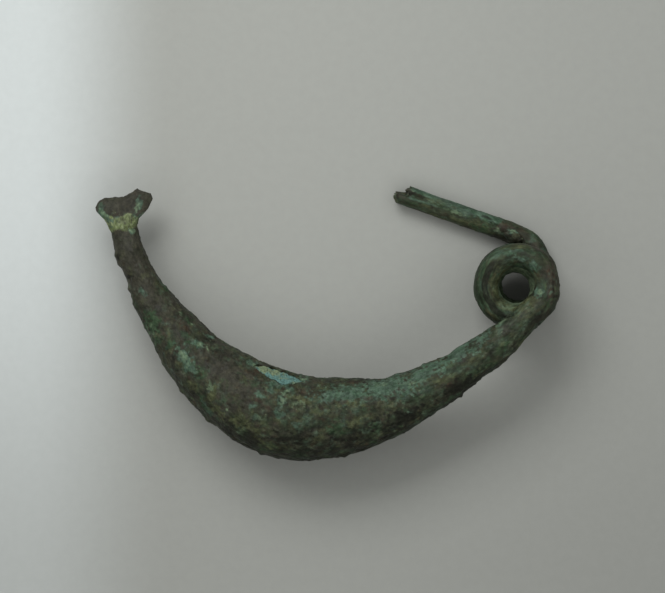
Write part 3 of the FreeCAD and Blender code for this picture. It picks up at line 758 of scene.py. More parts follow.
# where each kind lies thick on the upper side, as ellipses: x, y, half length, half width, turn, strength;
# a few are painted shade and highlights, noted where they stand
patchesOfPatinaAndLight = {
    "earth": [
        (-23.5, 14.0, 3.0, 1.2, 5, 1.0), (-23.0, 8.2, 2.6, 1.4, -78, 0.95),
        (-21.5, 4.6, 2.6, 1.2, -66, 0.7), (-18.8, 2.0, 2.3, 1.2, -50, 0.6),
        (-11.5, -6.0, 3.4, 1.7, -45, 0.9), (-9.5, -9.0, 1.8, 1.4, 0, 0.7), (18.5, -2.6, 1.2, 0.6, 38, 0.46),
        (13.7, -7.1, 1.6, 0.6, 30, 0.5), (26.0, 5.0, 2.8, 0.8, 90, 0.9), (20.3, 11.0, 1.2, 0.8, -30, 0.8),
        (9.5, 15.4, 1.6, 0.7, -15, 0.8), (-22.4, 6.6, 2.2, 1.2, -72, 1.0), (24.6, 9.0, 1.4, 0.9, -60, 0.8),
        (-20.6, 2.6, 1.8, 0.9, -55, 0.7), (-9.6, -7.6, 1.6, 1.2, -20, 0.8),
    ],
    "malachite": [
        (-20.5, -0.3, 1.6, 0.9, -68, 1.0), (-20.0, -2.0, 0.9, 0.6, -60, 0.8),
        (-14.3, -8.8, 1.2, 0.6, -45, 0.6), (-18.2, -2.5, 0.6, 0.6, 0, 0.8),
        # the last patch on this line, on the belly's lower side, is green patina and partly a painted sheen
        (-7.0, -14.5, 3.0, 0.9, -12, 0.6), (-3.0, -15.4, 2.8, 0.6, 2, 0.6), (1.0, -12.2, 1.6, 0.9, 10, 0.8),
        (5.5, -11.8, 1.3, 0.7, 15, 0.6), (10.5, -8.8, 1.5, 0.7, 28, 0.6), (19.8, -3.4, 1.9, 0.7, 38, 0.6),
        (17.6, 11.3, 1.7, 0.6, -19, 0.85), (20.6, 8.4, 2.6, 0.9, 5, 0.55), (17.8, 6.2, 1.3, 1.8, 0, 0.75),
        (17.5, 2.6, 1.7, 0.6, -60, 0.7), (-19.0, 4.2, 0.9, 0.3, -55, 0.7),
        (-16.5, -1.6, 0.9, 0.6, -40, 0.75), (-16.4, 0.6, 0.9, 0.4, -50, 0.75),
        (-15.4, -5.4, 1.0, 0.8, -50, 0.85), (-14.1, -9.8, 1.4, 0.5, -60, 0.75),
    ],
    "olive": [
        (-13.4, -8.4, 1.6, 0.5, 75, 1.0), (-12.8, -10.2, 0.6, 1.3, 45, 0.9),
        (-3.0, -8.9, 1.8, 0.4, -20, 1.0), (-9.5, -12.0, 2.4, 1.0, -32, 0.7), (-0.6, -7.7, 1.1, 0.4, 0, 0.6),
        (-8.0, -13.7, 2.2, 0.8, -25, 0.6), (-21.3, 5.6, 0.6, 1.0, -60, 0.3),
        (-15.6, -7.4, 1.0, 0.5, -50, 0.7), (3.2, -11.2, 1.8, 0.7, 12, 0.6), (-1.2, -10.4, 1.0, 0.5, 0, 0.6),
        (2.6, -9.3, 1.4, 0.5, 8, 0.8), (11.5, 13.6, 1.0, 0.3, -18, 0.6), (18.2, -2.7, 0.9, 0.4, 38, 0.6),
        (23.8, 2.5, 1.0, 0.45, 50, 0.7), (22.2, 1.3, 1.2, 0.35, 43, 0.62),
    ],
    "verdigris": [
        (-26.5, 13.5, 0.5, 0.8, 0, 0.45), (-22.4, 13.3, 1.2, 0.5, 75, 0.62),
        (-26.0, 12.4, 1.1, 0.5, -45, 0.74), (-22.9, 10.6, 0.4, 0.4, 0, 0.7),
        (-21.6, 3.5, 0.6, 0.4, -60, 0.45), (-16.8, -3.8, 1.7, 0.8, -50, 0.9),
        (-15.8, -5.4, 1.0, 0.6, -50, 0.8), (-14.9, -2.4, 0.7, 0.5, 0, 0.9),
        (-13.6, -1.7, 1.0, 0.2, -20, 0.7), (-5.2, -8.6, 1.1, 0.8, 70, 0.9),
        (-5.6, -10.6, 1.0, 0.6, 10, 0.8), (-7.8, -8.3, 0.5, 0.4, 0, 0.7), (-6.6, -7.8, 0.5, 0.4, 0, 0.7),
        (-8.6, -9.7, 0.5, 0.4, 0, 0.6), (-3.8, -11.8, 0.6, 0.5, 0, 0.6), (2.0, -8.3, 3.8, 1.1, 5, 0.95),
        (6.8, -7.4, 3.8, 1.4, 12, 1.2), (11.5, -5.7, 3.5, 1.2, 25, 0.95), (15.3, -3.4, 2.4, 1.0, 33, 1.1),
        # the second patch on this line, a pale teal streak on the tail's upper-left edge where the first
        # turn dives under it, is partly a painted highlight
        (17.9, -1.8, 1.6, 0.6, 38, 0.8), (20.1, 0.0, 0.7, 0.2, 38, 1.0), (25.3, 8.4, 0.35, 0.9, 20, 0.58),
        # the second patch on this line, on the coil's top, is partly a painted highlight
        (-24.7, 12.2, 0.8, 0.3, -60, 0.5), (22.4, 7.4, 1.4, 0.4, -10, 0.8),
        (21.8, 10.8, 0.6, 0.35, -10, 1.0), (24.6, 3.5, 0.6, 0.5, 20, 1.0), (24.2, 9.8, 0.6, 0.8, -40, 0.45),
        # the patches on this line and the first on the next run along the pin's upper edge: teal patina,
        # partly a painted highlight
        (16.0, 14.0, 2.6, 0.35, -18, 0.9), (13.0, 15.0, 1.9, 0.4, -18, 0.7),
        (18.2, 12.6, 1.8, 0.45, -18, 0.9), (8.9, 15.1, 0.5, 0.3, -10, 0.6), (24.0, 6.6, 0.9, 0.7, -45, 0.7),
        (-21.9, 12.3, 1.0, 0.4, 50, 0.55), (-5.4, -7.4, 1.8, 0.4, -12, 0.75),
        (-14.0, -9.9, 0.9, 0.35, -60, 0.6), (21.8, 8.3, 1.1, 0.5, 0, 0.62),
        (-8.0, -10.9, 1.0, 0.4, -10, 0.52), (-8.6, -4.8, 0.9, 0.35, -25, 0.85),
        (-2.8, -6.6, 0.9, 0.5, -8, 0.8),
    ],
    "rust": [
        (1.8, -9.2, 0.9, 0.25, 5, 0.8), (5.0, -8.8, 0.8, 0.3, 10, 0.8), (14.3, -7.3, 0.7, 0.4, 30, 0.8),
        (-16.4, -0.8, 0.7, 0.4, -40, 0.7), (-17.3, 0.1, 0.6, 0.4, 0, 0.6), (3.0, -6.9, 1.6, 0.25, 2, 0.8),
        (20.7, 11.4, 0.6, 0.6, -30, 0.8), (-8.0, -9.0, 0.9, 0.3, 0, 0.7), (-3.0, -7.9, 0.8, 0.25, -15, 0.7),
        (18.6, -2.1, 0.8, 0.4, 38, 0.36), (-8.4, -5.7, 0.7, 0.4, 0, 0.6), (14.2, 11.9, 0.6, 0.25, -20, 0.6),
        (26.0, 4.8, 1.6, 0.5, 90, 0.7),
    ],
    "dark": [
        # the second and third patches on this line, a thin dark line along the belly's hollow-side edge,
        # are partly painted shade
        (-13.7, -2.1, 0.9, 0.3, -18, 0.75), (0.5, -6.7, 3.4, 0.35, 0, 0.34), (5.0, -6.6, 2.8, 0.3, 2, 0.7),
        # the last patch on this line and all on the next run along the lower flank below the ridge: painted
        # shade and dark patina
        (22.3, 9.9, 1.4, 0.5, -10, 0.56), (9.6, 15.3, 1.0, 0.3, -15, 0.8), (-4.0, -13.2, 2.6, 0.8, 5, 0.5),
        (3.0, -13.0, 3.0, 1.0, 8, 0.6), (8.5, -10.9, 3.8, 1.0, 22, 0.72), (15.0, -7.4, 2.8, 0.8, 34, 0.72),
        (-18.1, -4.6, 1.7, 0.6, -60, 0.52), (-15.4, -8.0, 2.2, 0.6, -48, 0.50),
        (-24.5, 7.6, 0.6, 0.35, 80, 0.6), (-23.1, 5.4, 0.8, 0.2, 15, 0.9), (24.2, 0.3, 1.9, 0.6, 50, 0.6),
        # the first patch on this line darkens the catchplate's thinned right rim: partly painted shade
        (-20.5, 14.4, 1.3, 0.35, 68, 0.5), (26.1, 4.2, 1.6, 0.6, 84, 0.56), (8.6, 15.2, 0.7, 0.6, 70, 0.5),
        (19.2, 12.0, 1.2, 0.3, -30, 0.55),
    ],
    "pale": [
        (-8.0, -10.8, 1.5, 0.45, -8, 0.3), (-11.6, -10.2, 0.25, 0.4, 0, 0.7),
        (-7.9, -5.2, 0.9, 0.25, -25, 0.8), (15.3, 12.9, 1.1, 0.3, -18, 0.62),
        (-10.9, -2.6, 0.25, 0.25, 0, 0.7), (21.2, 1.9, 1.2, 0.35, 30, 0.45),
        (-26.1, 12.7, 1.3, 0.25, -45, 0.5), (-13.5, -7.3, 1.0, 0.35, 75, 0.70),
        (-22.4, 13.4, 0.9, 0.35, 75, 0.52), (-22.9, 10.8, 0.6, 0.35, -40, 0.62),
        (-3.2, -9.3, 1.2, 0.3, -20, 0.55), (-5.0, -8.3, 0.8, 0.6, 0, 0.6),
        (20.25, 10.75, 0.5, 0.38, 0, 0.70), (-14.6, -2.5, 0.8, 0.5, -30, 0.55),
        (-23.5, 12.7, 1.2, 0.15, 0, 0.55), (-16.8, -3.9, 1.3, 0.5, -50, 0.54),
        # the last patch on this line and the first on the next, a thin pale line along the foot's inner
        # edge, are painted highlight
        (-5.2, -8.8, 0.8, 0.5, 70, 0.6), (-17.3, 1.2, 0.8, 0.14, -50, 0.4),
        (-14.6, -1.2, 1.6, 0.10, -42, 0.55), (10.0, -6.9, 2.2, 0.35, 16, 0.30),
        (21.8, 10.8, 0.4, 0.25, -10, 0.9), (24.6, 3.5, 0.4, 0.35, 20, 0.55),
        (-20.5, -1.2, 1.0, 0.5, -65, 0.50), (-3.3, -6.45, 0.9, 0.22, -12, 0.7),
        # the second patch on this line is the same streak on the tail's edge, partly a painted highlight
        (-14.9, -2.4, 0.3, 0.25, 0, 0.8), (20.1, 0.0, 0.7, 0.15, 38, 0.8), (6.5, -7.0, 1.6, 0.4, 10, 0.30),
    ],
}
# ellipse radius at which a patch has faded out, how far that wanders broadly and finely, and how much a
# patch thins the other kinds
patch = {"core": 1.4, "wander": 0.34, "fray": 0.80, "thinning": 0.75}
# strength on the outer flank of the belly, its dark partly painted shade, and on the pin: its outer side,
# its inner side and its tip
flankTonesAndShade = {"dark": 0.62, "olive": 0.22, "malachite": 0.38}
pinTones = {"verdigris": 0.70, "malachite": 0.52, "olive": 0.48, "tipEarth": 0.80, "tipDark": 0.20}
# the coil's top: angles round the spring at which each tone rises and falls, and the tones' strengths
coilTones = {
    "faceArc": (90, 150, 290, 350), "shadedArc": (106, 152, 225, 270), "tealArc": (70, 115, 225, 270),
    "aboveArc": (75, 100, 130, 165), "lowerFrom": (120, 170),
    "face": 0.95, "shadedRadius": 3.78, "shadedSide": (0.26, 0.24), "eyePaleLight": 0.85, "eyeBrownLight": 0.5,
    "teal": (0.30, -0.06), "tealAndSheen": 0.33, "green": 0.44,
}


# bright yellow-olive band across the neck below the plate, in streaks that run along the metal
def brightNeckBand(grain):
    place = grain[:, 0] / grainSqueeze[0]
    wander = 0.25 * np.sin(2.1 * grain[:, 1] + 0.6)
    streaks = 0.76 + 0.45 * latticeNoise(grain * np.array([0.5, 4.5, 2.0]), 1.0, 171)
    return smoothStep(-2.05, -1.65, place + wander) * smoothStep(0.25, -0.45, place - wander) * streaks


# coil's own tones: pale olive on its inner face from the upper left round to the lower right, painted
# shade in an arc beside it and on its outer rim, green and teal outside that, teal above the eye that
# is partly a painted sheen, and pale brown painted down in the eye as painted light, by the angle
# round the spring and the distance from its axis
def coilPatinaShadeAndLight(points):
    offset = points[:, :2] - springAxis
    wander = 0.14 * layeredNoise(points, 1.2, 131, 2)
    reach = np.hypot(offset[:, 0], offset[:, 1]) + wander
    angle = (np.degrees(np.arctan2(offset[:, 1], offset[:, 0])) + 20 * wander) % 360
    onTop = smoothStep(6.6, 7.4, points[:, 2]) * (reach < 5.4)
    face = coilTones["face"] * onTop * between(*coilTones["faceArc"], angle) * smoothStep(3.5, 2.9, reach)
    inEye = smoothStep(7.6, 6.6, points[:, 2]) * smoothStep(2.9, 2.3, reach)
    outer = smoothStep(3.9, 4.3, reach)
    lower = smoothStep(*coilTones["lowerFrom"], angle)
    # painted shade on the coil's top: a band round the wire and its outer rim, deeper lower down
    dark, shadedLower = coilTones["shadedSide"]
    teal, tealLower = coilTones["teal"]
    band = smoothStep(0.62, 0.15, np.abs(reach - coilTones["shadedRadius"]))
    tealArc = between(*coilTones["tealArc"], angle) * outer
    # teal on the coil's top above the eye, partly a painted sheen
    above = coilTones["tealAndSheen"] * between(*coilTones["aboveArc"], angle) * smoothStep(3.2, 3.6, reach)
    shade = np.maximum(band, outer * (dark + shadedLower * lower))
    return {
        # down in the eye, olive, pale and brown are painted light that lifts the shade between the lower
        # turns
        "olive": np.maximum(face, inEye),
        "dark": onTop * between(*coilTones["shadedArc"], angle) * shade,
        "pale": coilTones["eyePaleLight"] * inEye,
        "rust": coilTones["eyeBrownLight"] * inEye,
        "verdigris": onTop * np.maximum((teal + tealLower * lower) * tealArc, above),
        "malachite": coilTones["green"] * onTop * tealArc,
    }


# pin's own tones: teal and green on the side away from the spring, olive on the other, a brown tip
def pinPatina(ways, grain):
    outerSide = ways @ levelWay(pin["heading"] - 90.0)
    along = grain[:, 0] / grainSqueeze[-1] - grainAlong(springEnd) / grainSqueeze[-1]
    onPin = between(kneeLength, kneeLength + 4.0, pinEnd - 2.4, pinEnd - 0.6, along)
    return {
        "verdigris": pinTones["verdigris"] * smoothStep(-0.1, 0.5, outerSide) * onPin,
        "malachite": pinTones["malachite"] * smoothStep(-0.5, 0.1, outerSide) * onPin,
        "olive": pinTones["olive"] * smoothStep(0.2, -0.6, outerSide) * onPin,
        "earth": pinTones["tipEarth"] * smoothStep(pinEnd - 1.8, pinEnd - 0.8, along),
        "dark": pinTones["tipDark"] * smoothStep(pinEnd - 1.6, pinEnd - 0.4, along),
    }


# outer flank of belly and tail, less so towards the foot: greener, and darker by painted shade and dark
# patina
def flankPatinaAndShade(points, ways):
    outward = unit(points[:, :2] - np.array([-2.0, 12.0]))
    flank = smoothStep(0.24, 0.90, np.sum(outward * ways[:, :2], axis=1))
    flank *= smoothStep(3.0, -7.0, points[:, 1]) * (smoothStep(-19.0, -9.0, points[:, 0]) * 0.6 + 0.4)
    return {kind: share * flank for kind, share in flankTonesAndShade.items()}


# distance of each point from the middle of an ellipse, 1 at its rim
def ellipseReach(points, x, y, long, wide, turn):
    dx, dy = points[:, 0] - x, points[:, 1] - y
    cosine, sine = math.cos(math.radians(turn)), math.sin(math.radians(turn))
    return np.hypot((dx * cosine + dy * sine) / long, (dy * cosine - dx * sine) / wide)


# vector of each item of mesh data, a row each
def readVectors(data, name):
    values = np.empty(len(data) * 3, np.float32)
    data.foreach_get(name, values)
    return values.reshape(-1, 3)


# strength of each kind at every point, from 0 to 1: its run along the metal, the listed ellipses on
# the upper side with wandering edges, and the piece's own tones, some of them painted shade and light
def paintPatinaAndLight(piece):
    mesh = piece.data
    points = readVectors(mesh.vertices, "co").astype(float) / millimetre
    ways = readVectors(mesh.vertices, "normal")
    grain = readVectors(mesh.attributes["grain"].data, "vector").astype(float)
    onTop = smoothStep(-0.15, 0.25, ways[:, 2])
    wander = patch["wander"] * layeredNoise(points, 1.3, 141, 2)
    wander += patch["fray"] * layeredNoise(points, 0.42, 143, 3)
    if piece is springCoil:
        extra = coilPatinaShadeAndLight(points)
    elif piece in (pinKnee, pinShank):
        extra = pinPatina(ways, grain)
    else:
        extra = flankPatinaAndShade(points, ways)
    thick = {}
    for kind, spots in patchesOfPatinaAndLight.items():
        thick[kind] = np.zeros(len(points))
        for *ellipse, strength in spots:
            inside = smoothStep(patch["core"], 0.3, ellipseReach(points, *ellipse) + wander)
            thick[kind] = np.maximum(thick[kind], strength * inside * onTop)
    # where one kind lies thick, the others run thinner
    for kind, run in patinaRun.items():
        others = np.max([thick[other] for other in thick if other != kind], axis=0)
        mask = np.interp(grain[:, 0], patinaStops, run) * (1 - patch["thinning"] * others)
        writeMask(mesh, kind, np.maximum(np.maximum(mask, thick[kind]), extra.get(kind, 0)))
    writeMask(mesh, "neckBright", brightNeckBand(grain) * (1 - np.minimum(thick["verdigris"], 1)))


for piece in (footStem, bowShell, tailStem, catchplate, springCoil, pinKnee, pinShank, kneeBlister):
    paintPatinaAndLight(piece)
print("patina painted")


# colour as seen on a screen, 0 to 255, to the linear values that shaders use
def screenColor(red, green, blue):
    value = np.array([red, green, blue]) / 255
    linear = np.where(value <= 0.04045, value / 12.92, ((value + 0.055) / 1.055) ** 2.4)
    return (*[float(v) for v in linear], 1.0)


# inputs by name or number, each linked to a socket or set to a value
def feed(tree, node, inputs):
    for socket, value in inputs.items():
        if isinstance(value, bpy.types.NodeSocket):
            tree.links.new(value, node.inputs[socket])
        else:
            node.inputs[socket].default_value = value


# node of a kind with its inputs and its settings
def addNode(tree, kind, inputs=None, **settings):
    node = tree.nodes.new(kind)
    for name, value in settings.items():
        setattr(node, name, value)
    feed(tree, node, inputs or {})
    return node


# result of one sum on values or sockets
def mathNode(tree, operation, *values):
    return addNode(tree, "ShaderNodeMath", dict(enumerate(values)), operation=operation).outputs[0]


# second colour over the first by a share
def mixColors(tree, share, first, second, blend="MIX"):
    inputs = {0: share, 6: first, 7: second}
    return addNode(tree, "ShaderNodeMix", inputs, data_type="RGBA", blend_type=blend).outputs[2]


# smooth step of a value from low to high, spread over 0 to 1 or over two more values
def easeNode(tree, *values):
    inputs = dict(enumerate(values))
    return addNode(tree, "ShaderNodeMapRange", inputs, interpolation_type="SMOOTHSTEP").outputs[0]


# noise of so many cells per unit, each seed a field of its own
def noiseNode(tree, place, scale, detail, roughness, seed=0.0):
    inputs = {"Vector": place, "W": seed, "Scale": scale, "Detail": detail, "Roughness": roughness}
    return addNode(tree, "ShaderNodeTexNoise", inputs, noise_dimensions="4D").outputs[0]


# distance to the nearest of scattered dots, one in each cell, or another output of theirs
def dotsNode(tree, place, scale, output="Distance"):
    return addNode(tree, "ShaderNodeTexVoronoi", {"Vector": place, "Scale": scale}).outputs[output]


# strength that was written on the mesh, or another output of that attribute
def attributeNode(tree, name, output="Fac"):
    return addNode(tree, "ShaderNodeAttribute", attribute_name=name).outputs[output]


# node group with named inputs and outputs, each with its kind of socket
def newGroup(name, inputs, outputs):
    tree = bpy.data.node_groups.new(name, "ShaderNodeTree")
    for direction, sockets in (("INPUT", inputs), ("OUTPUT", outputs)):
        for socket, kind in sockets.items():
            tree.interface.new_socket(socket, in_out=direction, socket_type="NodeSocket" + kind)
    return tree, addNode(tree, "NodeGroupInput").outputs, addNode(tree, "NodeGroupOutput")


# brokenEdge: turns a soft painted mask into a patch with a crumbly edge, by adding noise to it
# and easing over a narrow band
def brokenEdgeGroup():
    inputs = {"Mask": "Float", "Noise": "Float", "Softness": "Float"}
    tree, given, out = newGroup("brokenEdge", inputs, {"Mask": "Float"})
    centred = mathNode(tree, "SUBTRACT", given["Noise"], 0.5)
    shifted = mathNode(tree, "MULTIPLY_ADD", centred, 2.0, given["Mask"])
    low = mathNode(tree, "SUBTRACT", 0.5, given["Softness"])
    high = mathNode(tree, "ADD", 0.5, given["Softness"])
    present = easeNode(tree, given["Mask"], 0.0, 0.15)
    feed(tree, out, {"Mask": mathNode(tree, "MULTIPLY", easeNode(tree, shifted, low, high), present)})
    return tree


# each kind of patina, with dark and pale also laying painted shade and light: its two tones, blotches
# per millimetre, softness of their edges, how much it covers
kindsOfPatinaAndLight = {
    "earth": (screenColor(55, 54, 46), screenColor(50, 49, 40), 0.55, 0.30, 0.85),
    "malachite": (screenColor(37, 56, 36), screenColor(52, 69, 49), 0.80, 0.24, 0.85),
    "olive": (screenColor(60, 65, 41), screenColor(76, 81, 56), 0.95, 0.30, 0.80),
    "verdigris": (screenColor(57, 79, 62), screenColor(74, 94, 80), 1.10, 0.34, 0.87),
    "rust": (screenColor(58, 43, 31), screenColor(50, 40, 33), 1.30, 0.22, 0.60),
    "dark": (screenColor(18, 18, 12), screenColor(27, 27, 21), 0.95, 0.26, 0.80),
    "pale": (screenColor(86, 104, 80), screenColor(99, 114, 90), 1.40, 0.30, 0.78),
    "neckBright": (screenColor(90, 102, 62), screenColor(110, 120, 88), 1.60, 0.34, 0.90),
}
skin = {
    # noises: cells per millimetre, detail, roughness, seed
    "broad": (0.5, 3.0, 0.55, 0.5), "patchy": (1.1, 3.0, 0.55, 11.0),
    "mottle": (2.8, 4.0, 0.6, 12.0), "fine": (9.0, 3.0, 0.6, 13.0),
    # how each noise changes the value: from, to, darkest, lightest
    "mottleValue": (0.28, 0.72, 0.64, 1.38), "patchyValue": (0.3, 0.7, 0.74, 1.26),
    "fineValue": (0.25, 0.75, 0.84, 1.16),
    "roughness": (0.3, 0.7, 0.42, 0.68),
    # specks per millimetre, share of the cells without one, cover, colour
    "speckScale": 2.0, "speckless": 0.965, "speckCover": 0.4, "speck": screenColor(112, 122, 96),
    "pitScale": 4.0, "fineHeight": 0.35, "mottleHeight": 1.2, "pitHeight": 0.2,
}


# patinaSkin: over a ground of two tones lies each painted kind, in blotches where its strength plus
# noise passes a half; then value mottling, fine grain and a few specks. Gives colour, roughness, relief
def patinaSkinGroup(brokenEdge):
    tree, given, out = newGroup(
        "patinaSkin", {"Place": "Vector", "Ground": "Color", "Tint": "Color"},
        {"Color": "Color", "Roughness": "Float", "Height": "Float"},
    )
    place = given["Place"]
    broad, patchy, mottle, fine = (
        noiseNode(tree, place, *skin[name]) for name in ("broad", "patchy", "mottle", "fine"))
    color = mixColors(tree, easeNode(tree, broad, 0.40, 0.60), given["Ground"], given["Tint"])
    for number, (kind, (first, second, scale, softness, cover)) in enumerate(kindsOfPatinaAndLight.items()):
        noise = noiseNode(tree, place, scale, 4.0, 0.58, number + 1.5)
        inputs = {"Mask": attributeNode(tree, kind), "Noise": noise, "Softness": softness}
        edge = addNode(tree, "ShaderNodeGroup", inputs, node_tree=brokenEdge)
        tone = noiseNode(tree, place, scale * 2.4, 3.0, 0.6, number + 21.5)
        paint = mixColors(tree, easeNode(tree, tone, 0.40, 0.60), first, second)
        color = mixColors(tree, mathNode(tree, "MULTIPLY", edge.outputs[0], cover), color, paint)
    # value mottling of three sizes
    value = easeNode(tree, mottle, *skin["mottleValue"])
    for noise, spread in ((patchy, skin["patchyValue"]), (fine, skin["fineValue"])):
        value = mathNode(tree, "MULTIPLY", value, easeNode(tree, noise, *spread))
    color = mixColors(tree, 1.0, color, value, "MULTIPLY")
    # tiny pale specks in a few random cells
    near = easeNode(tree, dotsNode(tree, place, skin["speckScale"]), 0.22, 0.10)
    luck = addNode(tree, "ShaderNodeSeparateColor", {0: dotsNode(tree, place, skin["speckScale"], "Color")})
    lucky = mathNode(tree, "GREATER_THAN", luck.outputs[0], skin["speckless"])
    speck = mathNode(tree, "MULTIPLY", near, lucky)
    color = mixColors(tree, mathNode(tree, "MULTIPLY", speck, skin["speckCover"]), color, skin["speck"])
    # relief: fine grain, mottling and pits added up
    height = mathNode(tree, "MULTIPLY", fine, skin["fineHeight"])
    pits = easeNode(tree, dotsNode(tree, place, skin["pitScale"]), 0.0, 0.35)
    for source, share in ((mottle, skin["mottleHeight"]), (pits, skin["pitHeight"])):
        height = mathNode(tree, "ADD", height, mathNode(tree, "MULTIPLY", source, share))
    roughness = easeNode(tree, patchy, *skin["roughness"])
    feed(tree, out, {"Color": color, "Roughness": roughness, "Height": height})
    return tree


patinaSkin = patinaSkinGroup(brokenEdgeGroup())


# place in millimetres: Object coordinates scaled by a Mapping node
def placeNode(tree):
    place = addNode(tree, "ShaderNodeTexCoord").outputs["Object"]
    return addNode(tree, "ShaderNodeMapping", {"Scale": (1000, 1000, 1000), "Vector": place}).outputs[0]


# material with one Principled shader of that gloss
def newMaterial(name, gloss):
    material = bpy.data.materials.new(name)
    material.use_nodes = True
    tree = material.node_tree
    tree.nodes.clear()
    shader = addNode(tree, "ShaderNodeBsdfPrincipled", {"Specular IOR Level": gloss})
    addNode(tree, "ShaderNodeOutputMaterial", {"Surface": shader.outputs[0]})
    return material, tree, shader


# bump from a height that varies over the surface, so many millimetres deep
def bumpNode(tree, height, strength, deep):
    inputs = {"Strength": strength, "Distance": deep * millimetre, "Height": height}
    return addNode(tree, "ShaderNodeBump", inputs).outputs[0]


# bronze with the patina skin over it, read along the grain
def patinaMaterial(name, ground, tint):
    material, tree, shader = newMaterial(name, 0.14)
    inputs = {"Place": attributeNode(tree, "grain", "Vector"), "Ground": ground, "Tint": tint}
    found = addNode(tree, "ShaderNodeGroup", inputs, node_tree=patinaSkin).outputs
    bump = bumpNode(tree, found["Height"], 0.6, 0.12)
    feed(tree, shader, {"Base Color": found["Color"], "Roughness": found["Roughness"], "Normal": bump})
    return material


# plain mineral: two tones mottled by noise, more of the tint where the piece is worn, a deep tone in
# the hollows, matt, with a grainy bump
def mineralMaterial(name, ground, tint, deep, scale, strength):
    material, tree, shader = newMaterial(name, 0.25)
    place = placeNode(tree)
    patchy = noiseNode(tree, place, scale, 5.0, 0.65)
    fine = noiseNode(tree, place, scale * 5, 4.0, 0.7)
    worn = mathNode(tree, "MULTIPLY", attributeNode(tree, "worn"), 0.26)
    color = mixColors(tree, easeNode(tree, mathNode(tree, "ADD", patchy, worn), 0.52, 0.66), ground, tint)
    color = mixColors(tree, easeNode(tree, fine, 0.55, 0.34, 0.0, 0.85), color, deep)
    roughness = easeNode(tree, fine, 0.3, 0.7, 0.75, 0.95)
    bump = bumpNode(tree, mathNode(tree, "ADD", fine, patchy), strength, 0.15)
    feed(tree, shader, {"Base Color": color, "Roughness": roughness, "Normal": bump})
    return material


bronzePatina = patinaMaterial("bronzePatina", screenColor(45, 45, 35), screenColor(40, 46, 32))
burntClay = mineralMaterial(
    "burntClay", screenColor(96, 78, 60), screenColor(74, 60, 48), screenColor(44, 36, 30), 1.6, 0.7)
copperCrust = mineralMaterial(
    "copperCrust", screenColor(96, 132, 126), screenColor(120, 134, 104), screenColor(46, 68, 58), 0.9, 1.0)

dressing = [
    (footStem, "foot_stem", "stem_patina", bronzePatina),
    (bowShell, "bow_shell", "bow_patina", bronzePatina),
    (tailStem, "tail_stem", "stem_patina", bronzePatina),
    (catchplate, "catchplate_root", "plate_patina", bronzePatina),
    (ventCrust, "vent_crust", "copper_crust", copperCrust),
    (springCoil, "spring_coil", "wire_patina", bronzePatina),
    (pinKnee, "pin_knee", "pin_patina", bronzePatina),
    (pinShank, "pin_shank", "pin_patina", bronzePatina),
    (kneeBlister, "knee_blister", "blister_crust", bronzePatina),
]
for piece, node, slotName, finish in dressing:
    piece.data.materials.append(finish)
    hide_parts(node)
    if piece is springCoil:
        # the turns twist about the spring's axis, from the bow at the top to the pin at the bottom
        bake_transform(piece)
    else:
        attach(piece, "pin" if piece in (pinKnee, pinShank, kneeBlister) else "bow")
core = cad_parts["casting_core"]
core.data.materials.clear()
core.data.materials.append(burntClay)
print("pieces dressed")

# floor: half its side in metres, its plain tone and the tone of a painted pool of light, and where these
# change, in millimetres
floor = {
    "halfSide": 1.5, "plain": screenColor(157, 159, 154), "pale": screenColor(197, 203, 202),
    "paleLeft": (-18.0, -36.0), "paleUp": (-34.0, 14.0, 0.45, 1.0),
    "shadeDown": (-38.0, 38.0, 0.84, 1.06), "shadeRight": (-10.0, 45.0, 1.0, 0.88),
    "fibre": (0.3, 0.7, 0.985, 1.015),
}


# floor colour: plain grey, with a painted pool of light to the left, brightest at the top, and painted
# shade downward and to the right
def floorMaterial():
    material, tree, shader = newMaterial("paperFloor", 0.1)
    place = placeNode(tree)
    x, y = addNode(tree, "ShaderNodeSeparateXYZ", {0: place}).outputs[:2]
    paintedLight = mathNode(
        tree, "MULTIPLY", easeNode(tree, x, *floor["paleLeft"]), easeNode(tree, y, *floor["paleUp"]))
    color = mixColors(tree, paintedLight, floor["plain"], floor["pale"])
    shade = mathNode(
        tree, "MULTIPLY", easeNode(tree, y, *floor["shadeDown"]), easeNode(tree, x, *floor["shadeRight"]))
    color = mixColors(tree, 1.0, color, shade, "MULTIPLY")
    fibre = easeNode(tree, noiseNode(tree, place, 0.9, 4.0, 0.6), *floor["fibre"])
    color = mixColors(tree, 1.0, color, fibre, "MULTIPLY")
    feed(tree, shader, {"Base Color": color, "Roughness": 0.9})
    return material


floorMesh = bpy.data.meshes.new("paperFloor")
halfSide = floor["halfSide"]
floorCorners = [(x * halfSide, y * halfSide, 0) for x, y in ((-1, -1), (1, -1), (1, 1), (-1, 1))]
floorMesh.from_pydata(floorCorners, [], [(0, 1, 2, 3)])
floorMesh.materials.append(floorMaterial())
paperFloor = bpy.data.objects.new("paperFloor", floorMesh)
bpy.context.scene.collection.objects.link(paperFloor)

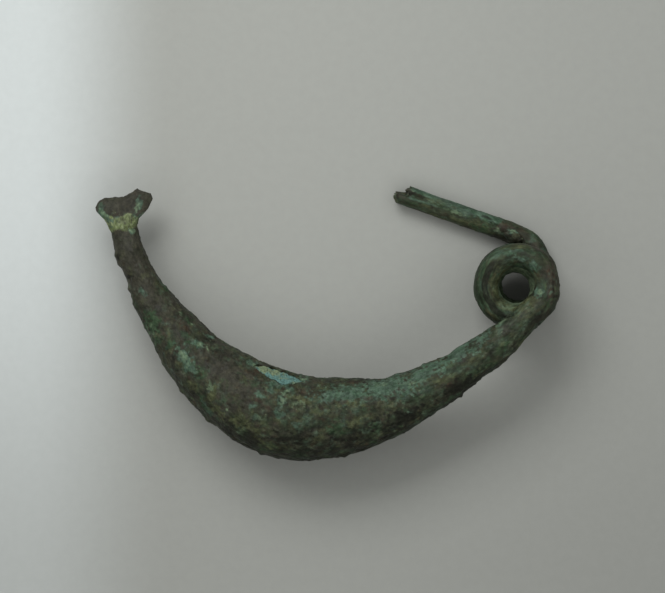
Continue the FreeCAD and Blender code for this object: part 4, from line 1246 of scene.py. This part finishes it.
# the room is brightest halfway up, darker straight overhead, where the camera stands, and at the
# horizon; a wide, shallow window lights the brooch from the upper left
studio = {
    "roomColor": (1.0, 1.0, 0.99, 1.0), "fill": 1.30, "overhead": 0.40, "horizon": 0.10,
    "overheadFrom": (0.70, 0.97), "wallsFrom": (0.35, 0.72),
    "lightAt": (-0.27, 0.55, 0.60), "lightWidth": 0.60, "lightDepth": 0.38, "lightPower": 4.4,
    "cameraAt": (0.000606, 0.003044, 0.4553), "lens": 208.2, "sensor": 36, "nearest": 0.05, "furthest": 5,
}
room = bpy.data.worlds.new("softRoom")
bpy.context.scene.world = room
room.use_nodes = True
roomTree = room.node_tree
background = roomTree.nodes["Background"]
wayOut = addNode(roomTree, "ShaderNodeTexCoord").outputs["Generated"]
steepness = addNode(roomTree, "ShaderNodeSeparateXYZ", {0: wayOut}).outputs[2]
roomLight = easeNode(roomTree, steepness, *studio["overheadFrom"], studio["fill"], studio["overhead"])
walls = easeNode(roomTree, steepness, *studio["wallsFrom"], studio["horizon"], 1.0)
strength = mathNode(roomTree, "MULTIPLY", roomLight, walls)
feed(roomTree, background, {"Color": studio["roomColor"], "Strength": strength})

lightData = bpy.data.lights.new("windowLight", "AREA")
lightData.shape = "RECTANGLE"
lightData.energy = studio["lightPower"]
lightData.size = studio["lightWidth"]
lightData.size_y = studio["lightDepth"]
light = bpy.data.objects.new("windowLight", lightData)
light.location = studio["lightAt"]
light.rotation_mode = "QUATERNION"
light.rotation_quaternion = Vector(studio["lightAt"]).to_track_quat("Z", "Y")
bpy.context.scene.collection.objects.link(light)
cameraData = bpy.data.cameras.new("photoView")
cameraData.lens = studio["lens"]
cameraData.sensor_width = studio["sensor"]
cameraData.clip_start = studio["nearest"]
cameraData.clip_end = studio["furthest"]
camera = bpy.data.objects.new("photoView", cameraData)
camera.location = studio["cameraAt"]
bpy.context.scene.collection.objects.link(camera)
bpy.context.scene.camera = camera
bpy.context.scene.view_settings.view_transform = "Standard"
print("floor, light and camera set")
